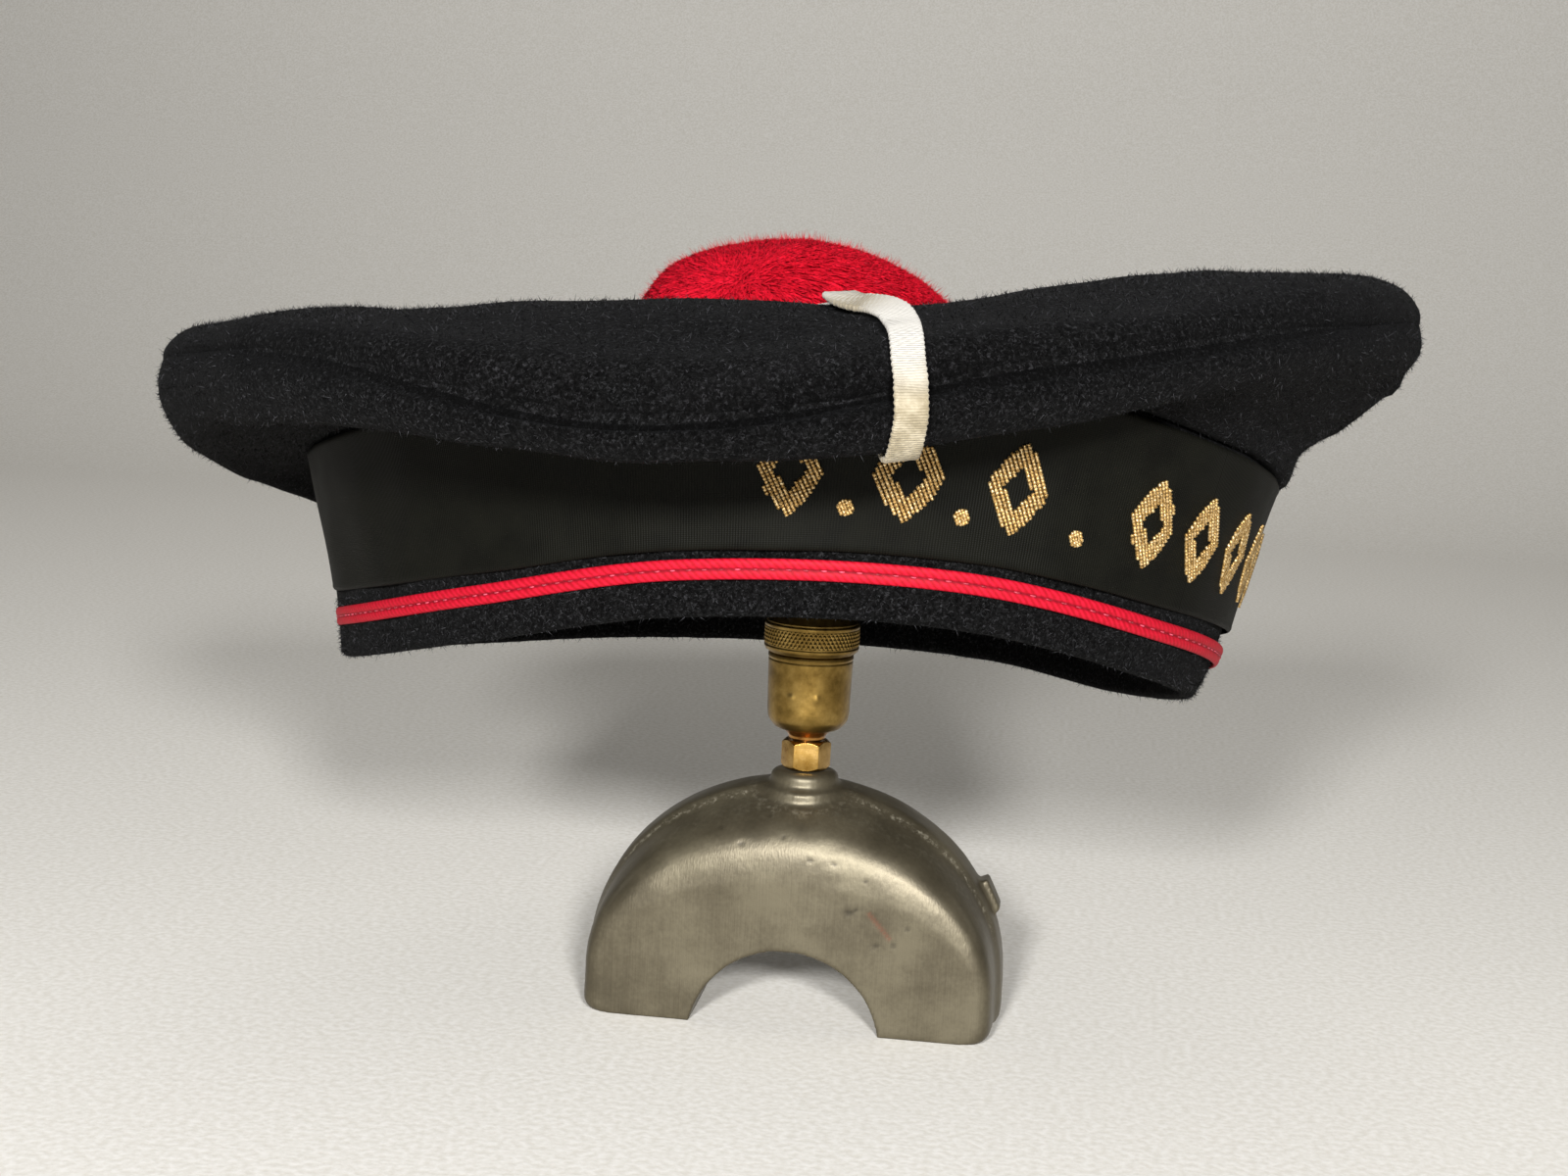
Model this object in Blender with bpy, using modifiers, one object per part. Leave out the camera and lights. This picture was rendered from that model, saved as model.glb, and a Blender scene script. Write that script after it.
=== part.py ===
# A sailor's cap with a pompom, resting tilted on a plain metal display stand.
# Lengths are in metres and angles in degrees.
# The cap has its own frame: X to the front, Z up through the crown, and its origin
# in the middle of the band's lower edge. The stand has another: X along the half ring,
# its flat face towards -Y, Z up, and its origin on the floor under the post.

import math

import bmesh
import bpy
import numpy as np
from mathutils import Matrix, Vector

CLEARANCE = 0.0003
SEGMENTS = 56

# How the cap sits on the stand
CAP_FRONT = -32.8
CAP_TILT = 10.7
CAP_RAISED_SIDE = -50.0
CAP_SHIFT = (-0.0091, -0.0012)

# The head band, its ribbon and its braid
BAND_LENGTH = 0.194
BAND_WIDTH = 0.166
BAND_WALL = 0.003
BAND_FLARE = 0.0105
BAND_LEAN = 0.0018
BAND_CURVE = 1.25
HEM_WAVE = 0.005
RIBBON_RISE = 0.0120
RIBBON_HEIGHT = 0.0300
RIBBON_THICKNESS = 0.0006
BAND_MARGIN = 0.0020
BAND_HEIGHT = RIBBON_RISE + RIBBON_HEIGHT + BAND_MARGIN
PIPING_RISE = 0.0070
PIPING_WIDTH = 0.0036
PIPING_THICKNESS = 0.0016

# The pompom
POMPOM_RADIUS = 0.037
POMPOM_HEIGHT = 0.025
LOCK_RADIUS = 0.0050
# A row for each ring of locks: how many, the angle of the ring above the seat,
# and a lock's reach past the head.
LOCK_COLUMNS = ("count", "rise", "reach")
LOCK_RINGS = ((18, 14, 0.10), (15, 36, 0.09), (10, 58, 0.08), (4, 80, 0.06))
HEAD_SHARE = 0.93

# The crown: an under panel and a top panel, sewn together round the rim
CROWN_RADIUS = 0.131
CROWN_HEIGHT = 0.063
CROWN_WALL = 0.002
RIM_ROLL = 0.012
SEAT_RADIUS = 1.12 * POMPOM_RADIUS

# A row for each section of the rim, by its angle from the front, counted anticlockwise from above.
# reach is a share of CROWN_RADIUS, and hem of HEM_WAVE.
# seam, low, over and shoulder are heights as shares of CROWN_HEIGHT.
# turn is 1 where the under panel climbs beside the band first, and 0 where it goes out level first.
RIM_COLUMNS = ("angle", "reach", "seam", "low", "over", "shoulder", "turn", "hem")
RIM_SECTIONS = (
    (-180, 0.98, 0.69, 0.46, 0.86, 0.95, 0.0, -0.10),
    (-150, 0.98, 0.85, 0.55, 0.97, 1.02, 0.2, -0.90),
    (-120, 0.98, 0.84, 0.59, 0.95, 1.01, 0.2, -1.00),
    (-90, 1.00, 0.74, 0.55, 0.86, 0.93, 0.0, -0.30),
    (-60, 1.01, 0.54, 0.44, 0.77, 0.925, 0.0, 0.82),
    (-30, 1.01, 0.76, 0.59, 0.90, 0.995, 0.0, 0.86),
    (0, 1.01, 1.00, 0.86, 1.15, 1.18, 0.6, -0.42),
    (30, 1.01, 1.17, 0.92, 1.32, 1.32, 1.0, -1.05),
    (60, 1.00, 1.12, 0.88, 1.27, 1.25, 0.8, -0.90),
    (90, 1.00, 0.90, 0.64, 1.05, 1.09, 0.3, 0.40),
    (120, 0.99, 0.69, 0.48, 0.86, 0.97, 0.0, 0.95),
    (150, 0.98, 0.60, 0.42, 0.79, 0.92, 0.0, 0.80),
)

# The chin strap, a flat woven tape
STRAP_WIDTH = 0.0058
STRAP_THICKNESS = 0.0010
STRAP_GAP = 0.0007
STRAP_STEP = 0.0045
# A row for each point of the tape's route. station runs along the crown's outer face: 0 at the band,
# 6 at the seam and 16 at the middle of the top. lift is a share of STRAP_WIDTH, and lean is the tape's tilt.
STRAP_COLUMNS = ("angle", "station", "lift", "lean")
STRAP_ROUTE = (
    (-41.0, 1.3, 0.00, 0),
    (-41.0, 2.5, 0.00, 0),
    (-41.0, 4.0, 0.00, 0),
    (-41.0, 5.0, 0.00, 0),
    (-40.9, 6.0, 0.00, 0),
    (-40.6, 7.5, 0.00, 0),
    (-40.0, 9.0, 0.05, 0),
    (-39.6, 9.7, 0.15, -10),
    (-40.5, 10.3, 0.28, -28),
    (-43, 10.5, 0.30, -35),
    (-45.5, 10.6, 0.28, -30),
    (-48, 10.9, 0.15, -12),
    (-51, 11.4, 0.05, 0),
    (-57, 11.9, 0.05, 0),
    (-71, 12.5, 0.05, 0),
    (-96, 13.2, 0.05, 0),
    (-134, 13.7, 0.05, 0),
    (-172, 13.5, 0.05, 0),
    (-199, 12.8, 0.05, 0),
    (-215, 11.7, 0.05, 0),
    (-222, 10.0, 0.05, 0),
    (-225, 8.6, 0.00, 0),
    (-226, 7.5, 0.00, 0),
    (-226, 6.0, 0.00, 0),
    (-226, 5.0, 0.00, 0),
    (-226, 4.0, 0.00, 0),
    (-226, 2.5, 0.00, 0),
    (-226, 1.3, 0.00, 0),
)

# The stand's half ring: straight feet with an oval arc above them
BASE_HALF_WIDTH = 0.0450
BASE_ARC = 0.0403
BASE_FEET = 0.0100
BASE_DEPTH = 0.0240
BASE_BACK = 0.0060
BASE_CORNER = 0.0028
# A row for each outline from the flat front face to the back: its half width as a share of
# BASE_HALF_WIDTH, its rise above the feet as a share of BASE_ARC, and its depth as a share of BASE_DEPTH.
BASE_COLUMNS = ("width", "rise", "depth")
BASE_OUTLINES = (
    (0.920, 0.54, 0.00),
    (0.950, 0.66, 0.03),
    (0.966, 0.76, 0.11),
    (0.970, 0.82, 0.23),
    (0.962, 0.86, 0.36),
    (0.948, 0.90, 0.48),
    (0.952, 0.94, 0.53),
    (0.985, 0.98, 0.58),
    (1.000, 1.00, 0.67),
    (1.000, 1.00, 0.95),
    (0.980, 0.98, 1.00),
)
BASE_STEPS = 30
ARCH_HALF_WIDTH = 0.0201
ARCH_HEIGHT = 0.0167
LUG_ANGLE = 25.0
LUG_SIZE = (0.006, 0.010, 0.008)
LUG_REACH = 0.0022
LUG_SET_IN = 0.0010
CUT_OVER = 0.0100

# What stands on the half ring
BOSS_RADIUS = 0.0088
BOSS_TOP = 0.0508
LIP_RADIUS = 0.0072
LIP_HEIGHT = 0.0016
SHANK_RADIUS = 0.0030
SHANK_DEPTH = 0.0080
NUT_FLATS = 0.0092
NUT_HEIGHT = 0.0062
NUT_TURN = 7.0
NUT_BEVEL = 0.0004
NECK_RADIUS = 0.0040
NECK_HEIGHT = 0.0020
CUP_RADIUS = 0.0092
CUP_FOOT_RADIUS = 0.0087
CUP_HEIGHT = 0.0165
CUP_ROUND = 0.0030
COLLAR_RADIUS = 0.01025
COLLAR_HEIGHT = 0.0066
COLLAR_WALL = 0.0009
COLLAR_FLOOR = 0.0015
POST_RADIUS = 0.0045
POST_TOP = 0.1385
PAD_RADIUS = 0.022
PAD_THICKNESS = 0.003
TURNED_STEPS = 32

# Colours, roughness and metallic values
FINISHES = {
    "navy_wool": ((0.012, 0.013, 0.017), 0.95, 0.0),
    "ribbed_ribbon": ((0.014, 0.014, 0.011), 0.45, 0.0),
    "red_braid": ((0.58, 0.010, 0.030), 0.70, 0.0),
    "red_wool": ((0.60, 0.008, 0.022), 0.90, 0.0),
    "white_tape": ((0.78, 0.73, 0.60), 0.70, 0.0),
    "grey_metal": ((0.150, 0.135, 0.105), 0.45, 1.0),
    "brass": ((0.32, 0.20, 0.060), 0.35, 1.0),
    "bright_brass": ((0.72, 0.50, 0.20), 0.30, 1.0),
}


def clear_scene():
    for thing in list(bpy.data.objects):
        bpy.data.objects.remove(thing, do_unlink=True)


def make_collection(name):
    found = bpy.data.collections.new(name)
    bpy.context.scene.collection.children.link(found)
    return found


def make_material(name):
    colour, roughness, metallic = FINISHES[name]
    material = bpy.data.materials.new(name)
    material.use_nodes = True
    shader = material.node_tree.nodes["Principled BSDF"]
    shader.inputs["Base Color"].default_value = (*colour, 1.0)
    shader.inputs["Roughness"].default_value = roughness
    shader.inputs["Metallic"].default_value = metallic
    return material


def place(bm, name, collection, finish, parent, smooth=True):
    mesh = bpy.data.meshes.new(name)
    bm.normal_update()
    bm.to_mesh(mesh)
    bm.free()
    if finish:
        mesh.materials.append(bpy.data.materials.get(finish) or make_material(finish))
    if smooth:
        mesh.shade_smooth()
        mesh.set_sharp_from_angle(angle=math.radians(40))
    piece = bpy.data.objects.new(name, mesh)
    collection.objects.link(piece)
    piece.parent = parent
    return piece


def make_cutter(bm, name, cutters, parent):
    piece = place(bm, name, cutters, None, parent, smooth=False)
    piece.hide_render = True
    piece.display_type = "WIRE"
    return piece


def add_boolean(piece, operation, other):
    modifier = piece.modifiers.new(operation.lower() + "_" + other.name, "BOOLEAN")
    modifier.operation = operation
    modifier.solver = "EXACT"
    modifier.object = other


def add_solidify(piece, thickness):
    modifier = piece.modifiers.new("wall", "SOLIDIFY")
    modifier.thickness = thickness
    modifier.offset = -1.0
    modifier.use_even_offset = False


def add_screw(piece, steps, axis="Z"):
    modifier = piece.modifiers.new("turn", "SCREW")
    modifier.axis = axis
    modifier.steps = steps
    modifier.render_steps = steps
    modifier.use_merge_vertices = True
    modifier.merge_threshold = 0.00001


# Smooth values between the rows of a table


def smooth_between(before, start, end, after, share):
    """A cubic through start and end that leans towards their neighbours."""
    slope_in = (end - before) / 2
    slope_out = (after - start) / 2
    square, cube = share * share, share * share * share
    return (
        start * (2 * cube - 3 * square + 1)
        + slope_in * (cube - 2 * square + share)
        + end * (3 * square - 2 * cube)
        + slope_out * (cube - square)
    )


def rim(angle):
    """The rim's section at an angle from the front, as a dictionary of its columns."""
    step = RIM_SECTIONS[1][0] - RIM_SECTIONS[0][0]
    place_in_table = (angle - RIM_SECTIONS[0][0]) / step
    row = math.floor(place_in_table)
    share = place_in_table - row
    near = [np.array(RIM_SECTIONS[(row + k) % len(RIM_SECTIONS)], float) for k in (-1, 0, 1, 2)]
    return dict(zip(RIM_COLUMNS, smooth_between(*near, share)))


def along(points, station):
    """A point on the smooth curve through a list of points, with the stations numbered from 0."""
    last = len(points) - 1
    row = min(max(math.floor(station), 0), last - 1)
    share = min(max(station - row, 0.0), 1.0)
    near = [points[min(max(row + k, 0), last)] for k in (-1, 0, 1, 2)]
    return smooth_between(*near, share)


# The cap's profiles, as pairs of radius and height at one angle


def oval(angle, length, width):
    turn = math.radians(angle)
    return 1.0 / math.hypot(math.cos(turn) / (length / 2), math.sin(turn) / (width / 2))


def hem_height(angle):
    return rim(angle)["hem"] * HEM_WAVE


def band_radius(angle, rise):
    share = min(max(rise / BAND_HEIGHT, 0.0), 1.0)
    spread = 2 * BAND_FLARE * share**BAND_CURVE
    lean = BAND_LEAN * share * math.cos(math.radians(angle))
    return oval(angle, BAND_LENGTH + spread, BAND_WIDTH + spread) + lean


def band_profile(angle):
    ribbon_top = RIBBON_RISE + RIBBON_HEIGHT
    rises = (0.0, PIPING_RISE, RIBBON_RISE, RIBBON_RISE + RIBBON_HEIGHT / 2, ribbon_top, BAND_HEIGHT)
    base = hem_height(angle)
    return [np.array((band_radius(angle, r), base + r)) for r in rises]


def ribbon_profile(angle):
    rises = (RIBBON_RISE, RIBBON_RISE + RIBBON_HEIGHT / 2, RIBBON_RISE + RIBBON_HEIGHT)
    stand_off = CLEARANCE + RIBBON_THICKNESS * 1.1
    base = hem_height(angle)
    return [np.array((band_radius(angle, r) + stand_off, base + r)) for r in rises]


def piping_section(angle):
    """A flat back against the band and two rounded ridges with a stitched groove between them."""
    outline = ((0.0, 0.0), (0.7, 0.05), (1.0, 0.26), (0.7, 0.50), (1.0, 0.74), (0.7, 0.95), (0.0, 1.0))
    base = hem_height(angle) + PIPING_RISE
    wall = band_radius(angle, PIPING_RISE + PIPING_WIDTH)
    return [
        np.array((wall + CLEARANCE * 1.2 + out * PIPING_THICKNESS, base + up * PIPING_WIDTH))
        for out, up in outline
    ]


def under_profile(angle):
    """The visible face of the under panel, from the band's top edge out to the rim's seam."""
    row = rim(angle)
    reach = row["reach"] * CROWN_RADIUS
    seam = row["seam"] * CROWN_HEIGHT - CLEARANCE / 2
    low = row["low"] * CROWN_HEIGHT
    top = hem_height(angle) + BAND_HEIGHT + CLEARANCE
    edge = band_radius(angle, BAND_HEIGHT)
    slant = BAND_FLARE * BAND_CURVE / BAND_HEIGHT
    start = np.array((edge + BAND_WALL / 2, top))
    bottom = np.array((reach - 0.5 * RIM_ROLL, low))
    turn = row["turn"]
    return [
        np.array((edge - BAND_WALL, top + 1.2 * slant * BAND_WALL)),
        start,
        start + (bottom - start) * (0.35 - 0.23 * turn, 0.15 + 0.22 * turn),
        start + (bottom - start) * (0.70 - 0.25 * turn, 0.60 + 0.02 * turn),
        bottom,
        np.array((reach, low + 0.5 * (seam - low))),
        np.array((reach, seam)),
    ]


def top_profile(angle):
    """The visible face of the top panel, from the rim's seam in to the middle."""
    row = rim(angle)
    reach = row["reach"] * CROWN_RADIUS
    seam = row["seam"] * CROWN_HEIGHT + CLEARANCE / 2
    over = row["over"] * CROWN_HEIGHT
    shoulder = row["shoulder"] * CROWN_HEIGHT
    middle = CROWN_HEIGHT
    outer, inner = 0.75 * reach, SEAT_RADIUS
    dish = [(share, share * share * (3 - 2 * share)) for share in (0.75, 0.5, 0.25)]
    return [
        np.array((reach, seam)),
        np.array((reach, seam + 0.35 * (over - seam))),
        np.array((reach - 0.30 * RIM_ROLL, seam + 0.75 * (over - seam))),
        np.array((reach - RIM_ROLL, over)),
        np.array((reach - 1.8 * RIM_ROLL, over + 0.60 * (shoulder - over))),
        np.array((outer, shoulder)),
        *[np.array((inner + s * (outer - inner), middle + e * (shoulder - middle))) for s, e in dish],
        np.array((inner, middle)),
        np.array((0.0, middle)),
    ]


def around(radius, height, angle):
    turn = math.radians(angle)
    return Vector((radius * math.cos(turn), radius * math.sin(turn), height))


def ring_angles():
    return [360.0 * k / SEGMENTS for k in range(SEGMENTS)]


def add_ring(bm, profile, row):
    return [bm.verts.new(around(*profile(angle)[row], angle)) for angle in ring_angles()]


def join_rings(bm, lower, upper):
    """Faces between two rings of the same count, pointing outwards when upper is the higher one."""
    count = len(lower)
    for k in range(count):
        n = (k + 1) % count
        bm.faces.new((lower[k], lower[n], upper[n], upper[k]))


def make_wall(name, profile, first, last, collection, finish, parent, thickness):
    """An open ring that follows one of the cap's profiles, made a wall by Solidify."""
    bm = bmesh.new()
    rings = [add_ring(bm, profile, row) for row in range(first, last + 1)]
    for lower, upper in zip(rings, rings[1:]):
        join_rings(bm, lower, upper)
    piece = place(bm, name, collection, finish, parent)
    add_solidify(piece, thickness)
    return piece


def make_headband(collection, parent):
    rows = len(band_profile(0.0)) - 1
    return make_wall("headband", band_profile, 0, rows, collection, "navy_wool", parent, BAND_WALL)


def make_ribbon(collection, parent):
    return make_wall(
        "cap_ribbon", ribbon_profile, 0, 2, collection, "ribbed_ribbon", parent, RIBBON_THICKNESS
    )


def make_crown_under(collection, parent):
    rows = len(under_profile(0.0)) - 1
    return make_wall(
        "crown_under", under_profile, 0, rows, collection, "navy_wool", parent, CROWN_WALL
    )


def make_crown_top(collection, parent):
    bm = bmesh.new()
    rows = len(top_profile(0.0)) - 1
    rings = [add_ring(bm, top_profile, row) for row in range(rows)]
    for lower, upper in zip(rings, rings[1:]):
        join_rings(bm, lower, upper)
    middle = bm.verts.new((0.0, 0.0, CROWN_HEIGHT))
    for k in range(SEGMENTS):
        bm.faces.new((rings[-1][k], rings[-1][(k + 1) % SEGMENTS], middle))
    piece = place(bm, "crown_top", collection, "navy_wool", parent)
    add_solidify(piece, CROWN_WALL)
    return piece


def make_piping(collection, parent):
    bm = bmesh.new()
    rings = [add_ring(bm, piping_section, row) for row in range(len(piping_section(0.0)))]
    for lower, upper in zip(rings, rings[1:]):
        join_rings(bm, lower, upper)
    join_rings(bm, rings[-1], rings[0])
    return place(bm, "red_piping", collection, "red_braid", parent)


# The pompom: a rounded head with tapering locks of wool fused to it


def make_pompom(collection, cutters, parent):
    seat = CROWN_HEIGHT + CLEARANCE
    bm = bmesh.new()
    bmesh.ops.create_uvsphere(bm, u_segments=20, v_segments=12, radius=1.0)
    head_size = (POMPOM_RADIUS * HEAD_SHARE, POMPOM_RADIUS * HEAD_SHARE, POMPOM_HEIGHT * HEAD_SHARE)
    bmesh.ops.scale(bm, vec=head_size, verts=bm.verts)
    head = place(bm, "pompom", collection, "red_wool", parent)
    head.location = (0.0, 0.0, seat)
    locks = bpy.data.collections.new("pompom_locks")
    cutters.children.link(locks)
    for ring, row in enumerate(LOCK_RINGS):
        lock = dict(zip(LOCK_COLUMNS, row))
        for k in range(lock["count"]):
            turn = math.radians(360.0 * (k + 0.5 * (ring % 2)) / lock["count"])
            rise = math.radians(lock["rise"])
            out = Vector(
                (
                    POMPOM_RADIUS * math.cos(rise) * math.cos(turn),
                    POMPOM_RADIUS * math.cos(rise) * math.sin(turn),
                    POMPOM_HEIGHT * math.sin(rise),
                )
            )
            bm = bmesh.new()
            length = out.length * (0.45 + lock["reach"] / 2)
            bmesh.ops.create_cone(
                bm, cap_ends=True, segments=7, radius1=LOCK_RADIUS * 0.9, radius2=LOCK_RADIUS * 0.55,
                depth=length,
            )
            aim = out.to_track_quat("Z", "Y").to_matrix().to_4x4()
            centre = out * (1.0 + lock["reach"] / 2) - out.normalized() * length / 2
            bmesh.ops.transform(bm, matrix=Matrix.Translation(centre) @ aim, verts=bm.verts)
            piece = make_cutter(bm, f"lock_{ring}_{k}", locks, parent)
            piece.location = (0.0, 0.0, seat)
    union = head.modifiers.new("locks", "BOOLEAN")
    union.operation = "UNION"
    union.solver = "EXACT"
    union.operand_type = "COLLECTION"
    union.collection = locks
    bm = bmesh.new()
    bmesh.ops.create_cube(bm, size=2.0)
    span = 2 * POMPOM_RADIUS
    bmesh.ops.scale(bm, vec=(span, span, span), verts=bm.verts)
    floor = make_cutter(bm, "pompom_floor", cutters, parent)
    floor.location = (0.0, 0.0, seat - span)
    add_boolean(head, "DIFFERENCE", floor)
    return head


# The chin strap: a tape that follows the crown's outer face


def outer_face(angle, station):
    """A point on the crown's visible face: stations 0 to 6 on the under panel, 6 to 16 on the top."""
    under = under_profile(angle)
    seam_station = len(under) - 1
    if station <= seam_station:
        radius, height = along(under, station)
    else:
        radius, height = along(top_profile(angle), station - seam_station)
    return around(radius, height, angle)


def strap_row(place_on_route):
    rows = [np.array(row, float) for row in STRAP_ROUTE]
    return dict(zip(STRAP_COLUMNS, along(rows, place_on_route)))


def strap_frame(place_on_route):
    """The tape's middle, its width direction and the way that its outer face points."""
    step = 0.05
    row = strap_row(place_on_route)
    before = strap_row(place_on_route - step)
    after = strap_row(place_on_route + step)
    angle, station = row["angle"], row["station"]
    forward = outer_face(after["angle"], after["station"])
    forward -= outer_face(before["angle"], before["station"])
    side = outer_face(angle + 1.0, station) - outer_face(angle - 1.0, station)
    slope = outer_face(angle, station + step) - outer_face(angle, station - step)
    here = outer_face(angle, station)
    normal = side.cross(slope).normalized()
    forward = (forward - normal * forward.dot(normal)).normalized()
    across = forward.cross(normal).normalized()
    turn = Matrix.Rotation(math.radians(row["lean"]), 3, forward)
    lift = STRAP_GAP + STRAP_THICKNESS / 2 + max(row["lift"], 0.0) * STRAP_WIDTH
    return here + normal * lift, turn @ across, turn @ normal


def make_strap(collection, parent):
    last = len(STRAP_ROUTE) - 1
    fine = [last * k / 400 for k in range(401)]
    length = 0.0
    lengths = [0.0]
    for a, b in zip(fine, fine[1:]):
        length += (strap_frame(b)[0] - strap_frame(a)[0]).length
        lengths.append(length)
    count = round(length / STRAP_STEP)
    bm = bmesh.new()
    sections = []
    for k in range(count + 1):
        middle, across, normal = strap_frame(float(np.interp(length * k / count, lengths, fine)))
        half, thick = across * STRAP_WIDTH / 2, normal * STRAP_THICKNESS / 2
        signs = ((-1, -1), (1, -1), (1, 1), (-1, 1))
        sections.append([bm.verts.new(middle + a * half + b * thick) for a, b in signs])
    for a, b in zip(sections, sections[1:]):
        join_rings(bm, b, a)
    bm.faces.new(sections[0])
    bm.faces.new(tuple(reversed(sections[-1])))
    bmesh.ops.recalc_face_normals(bm, faces=bm.faces)
    return place(bm, "chin_strap", collection, "white_tape", parent)


# The stand


def profile_mesh(points):
    """A line of vertices in the XZ plane, ready for a Screw modifier."""
    bm = bmesh.new()
    line = [bm.verts.new((x, 0.0, z)) for x, z in points]
    for a, b in zip(line, line[1:]):
        bm.edges.new((a, b))
    return bm


def cylinder(radius, low, high, steps=TURNED_STEPS):
    bm = bmesh.new()
    bmesh.ops.create_cone(
        bm, cap_ends=True, segments=steps, radius1=radius, radius2=radius, depth=high - low
    )
    bmesh.ops.translate(bm, vec=(0.0, 0.0, (high + low) / 2), verts=bm.verts)
    return bm


def block(low, high):
    bm = bmesh.new()
    bmesh.ops.create_cube(bm, size=1.0)
    size = [b - a for a, b in zip(low, high)]
    bmesh.ops.scale(bm, vec=size, verts=bm.verts)
    bmesh.ops.translate(bm, vec=[(a + b) / 2 for a, b in zip(low, high)], verts=bm.verts)
    return bm


def base_outline(row):
    """One outline of the half ring: a rounded foot, the arc over the top and the other foot."""
    half, rise = row["width"] * BASE_HALF_WIDTH, row["rise"] * BASE_ARC
    points = []
    for turn in (270, 300, 330):
        along_corner = math.radians(turn)
        points.append(
            (
                half - BASE_CORNER + BASE_CORNER * math.cos(along_corner),
                BASE_CORNER + BASE_CORNER * math.sin(along_corner),
            )
        )
    for k in range(BASE_STEPS // 2 + 1):
        turn = math.radians(180.0 * k / BASE_STEPS)
        points.append((half * math.cos(turn), BASE_FEET + rise * math.sin(turn)))
    mirrored = [(-x, z) for x, z in reversed(points[:-1])]
    return points + mirrored


def make_base(collection, cutters, parent):
    bm = bmesh.new()
    rings = []
    for row in BASE_OUTLINES:
        row = dict(zip(BASE_COLUMNS, row))
        depth = BASE_BACK - BASE_DEPTH * (1.0 - row["depth"])
        rings.append([bm.verts.new((x, depth, z)) for x, z in base_outline(row)])
    for front, back in zip(rings, rings[1:]):
        join_rings(bm, front, back)
    bm.faces.new(rings[0])
    bm.faces.new(tuple(reversed(rings[-1])))
    bmesh.ops.recalc_face_normals(bm, faces=bm.faces)
    base = place(bm, "stand_base", collection, "grey_metal", parent)

    drop = (ARCH_HALF_WIDTH**2 - ARCH_HEIGHT**2) / (2 * ARCH_HEIGHT)
    arch = cylinder(ARCH_HEIGHT + drop, -2 * BASE_DEPTH, 2 * BASE_DEPTH, steps=48)
    bmesh.ops.rotate(arch, matrix=Matrix.Rotation(math.radians(90), 3, "X"), verts=arch.verts)
    bmesh.ops.translate(arch, vec=(0.0, 0.0, -drop), verts=arch.verts)
    add_boolean(base, "DIFFERENCE", make_cutter(arch, "arch_cut", cutters, parent))

    boss = profile_mesh(
        (
            (0.0, boss_top()),
            (LIP_RADIUS - LIP_HEIGHT / 3, boss_top()),
            (LIP_RADIUS, BOSS_TOP + LIP_HEIGHT * 0.7),
            (LIP_RADIUS, BOSS_TOP),
            (BOSS_RADIUS - LIP_HEIGHT / 2, BOSS_TOP),
            (BOSS_RADIUS, BOSS_TOP - LIP_HEIGHT / 2),
            (BOSS_RADIUS, BOSS_TOP * 0.6),
            (0.0, BOSS_TOP * 0.6),
        )
    )
    turned = make_cutter(boss, "boss", cutters, parent)
    add_screw(turned, TURNED_STEPS)
    add_boolean(base, "UNION", turned)

    bore = cylinder(SHANK_RADIUS + CLEARANCE, boss_top() - SHANK_DEPTH, boss_top() + CUT_OVER)
    add_boolean(base, "DIFFERENCE", make_cutter(bore, "bore_cut", cutters, parent))

    lug = block([-s / 2 for s in LUG_SIZE], [s / 2 for s in LUG_SIZE])
    turn = Matrix.Rotation(math.radians(-LUG_ANGLE), 3, "Y")
    bmesh.ops.rotate(lug, matrix=turn, verts=lug.verts)
    reach = LUG_REACH - LUG_SIZE[0] / 2
    at = math.radians(LUG_ANGLE)
    centre = Vector(
        (
            (BASE_HALF_WIDTH + reach) * math.cos(at),
            BASE_BACK - LUG_SIZE[1] / 2 + LUG_SET_IN,
            BASE_FEET + (BASE_ARC + reach) * math.sin(at),
        )
    )
    bmesh.ops.translate(lug, vec=centre, verts=lug.verts)
    add_boolean(base, "UNION", make_cutter(lug, "lug", cutters, parent))
    return base


def boss_top():
    return BOSS_TOP + LIP_HEIGHT


def nut_low():
    return boss_top() + CLEARANCE


def neck_low():
    return nut_low() + NUT_HEIGHT + CLEARANCE


def cup_low():
    return neck_low() + NECK_HEIGHT


def collar_low():
    return cup_low() + CUP_HEIGHT + CLEARANCE


def post_low():
    return collar_low() + COLLAR_FLOOR + CLEARANCE


def make_nut(collection, cutters, parent):
    bm = bmesh.new()
    corner = NUT_FLATS / 2 / math.cos(math.radians(30))
    bmesh.ops.create_cone(
        bm, cap_ends=True, segments=6, radius1=corner, radius2=corner, depth=NUT_HEIGHT
    )
    bmesh.ops.rotate(bm, matrix=Matrix.Rotation(math.radians(30 + NUT_TURN), 3, "Z"), verts=bm.verts)
    nut = place(bm, "hex_nut", collection, "bright_brass", parent)
    nut.location = (0.0, 0.0, nut_low() + NUT_HEIGHT / 2)
    bevel = nut.modifiers.new("edges", "BEVEL")
    bevel.width = NUT_BEVEL
    bevel.segments = 1
    bevel.limit_method = "ANGLE"
    bore = cylinder(SHANK_RADIUS + CLEARANCE, nut_low() - CUT_OVER, neck_low() + CUT_OVER)
    add_boolean(nut, "DIFFERENCE", make_cutter(bore, "nut_bore", cutters, parent))
    return nut


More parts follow.
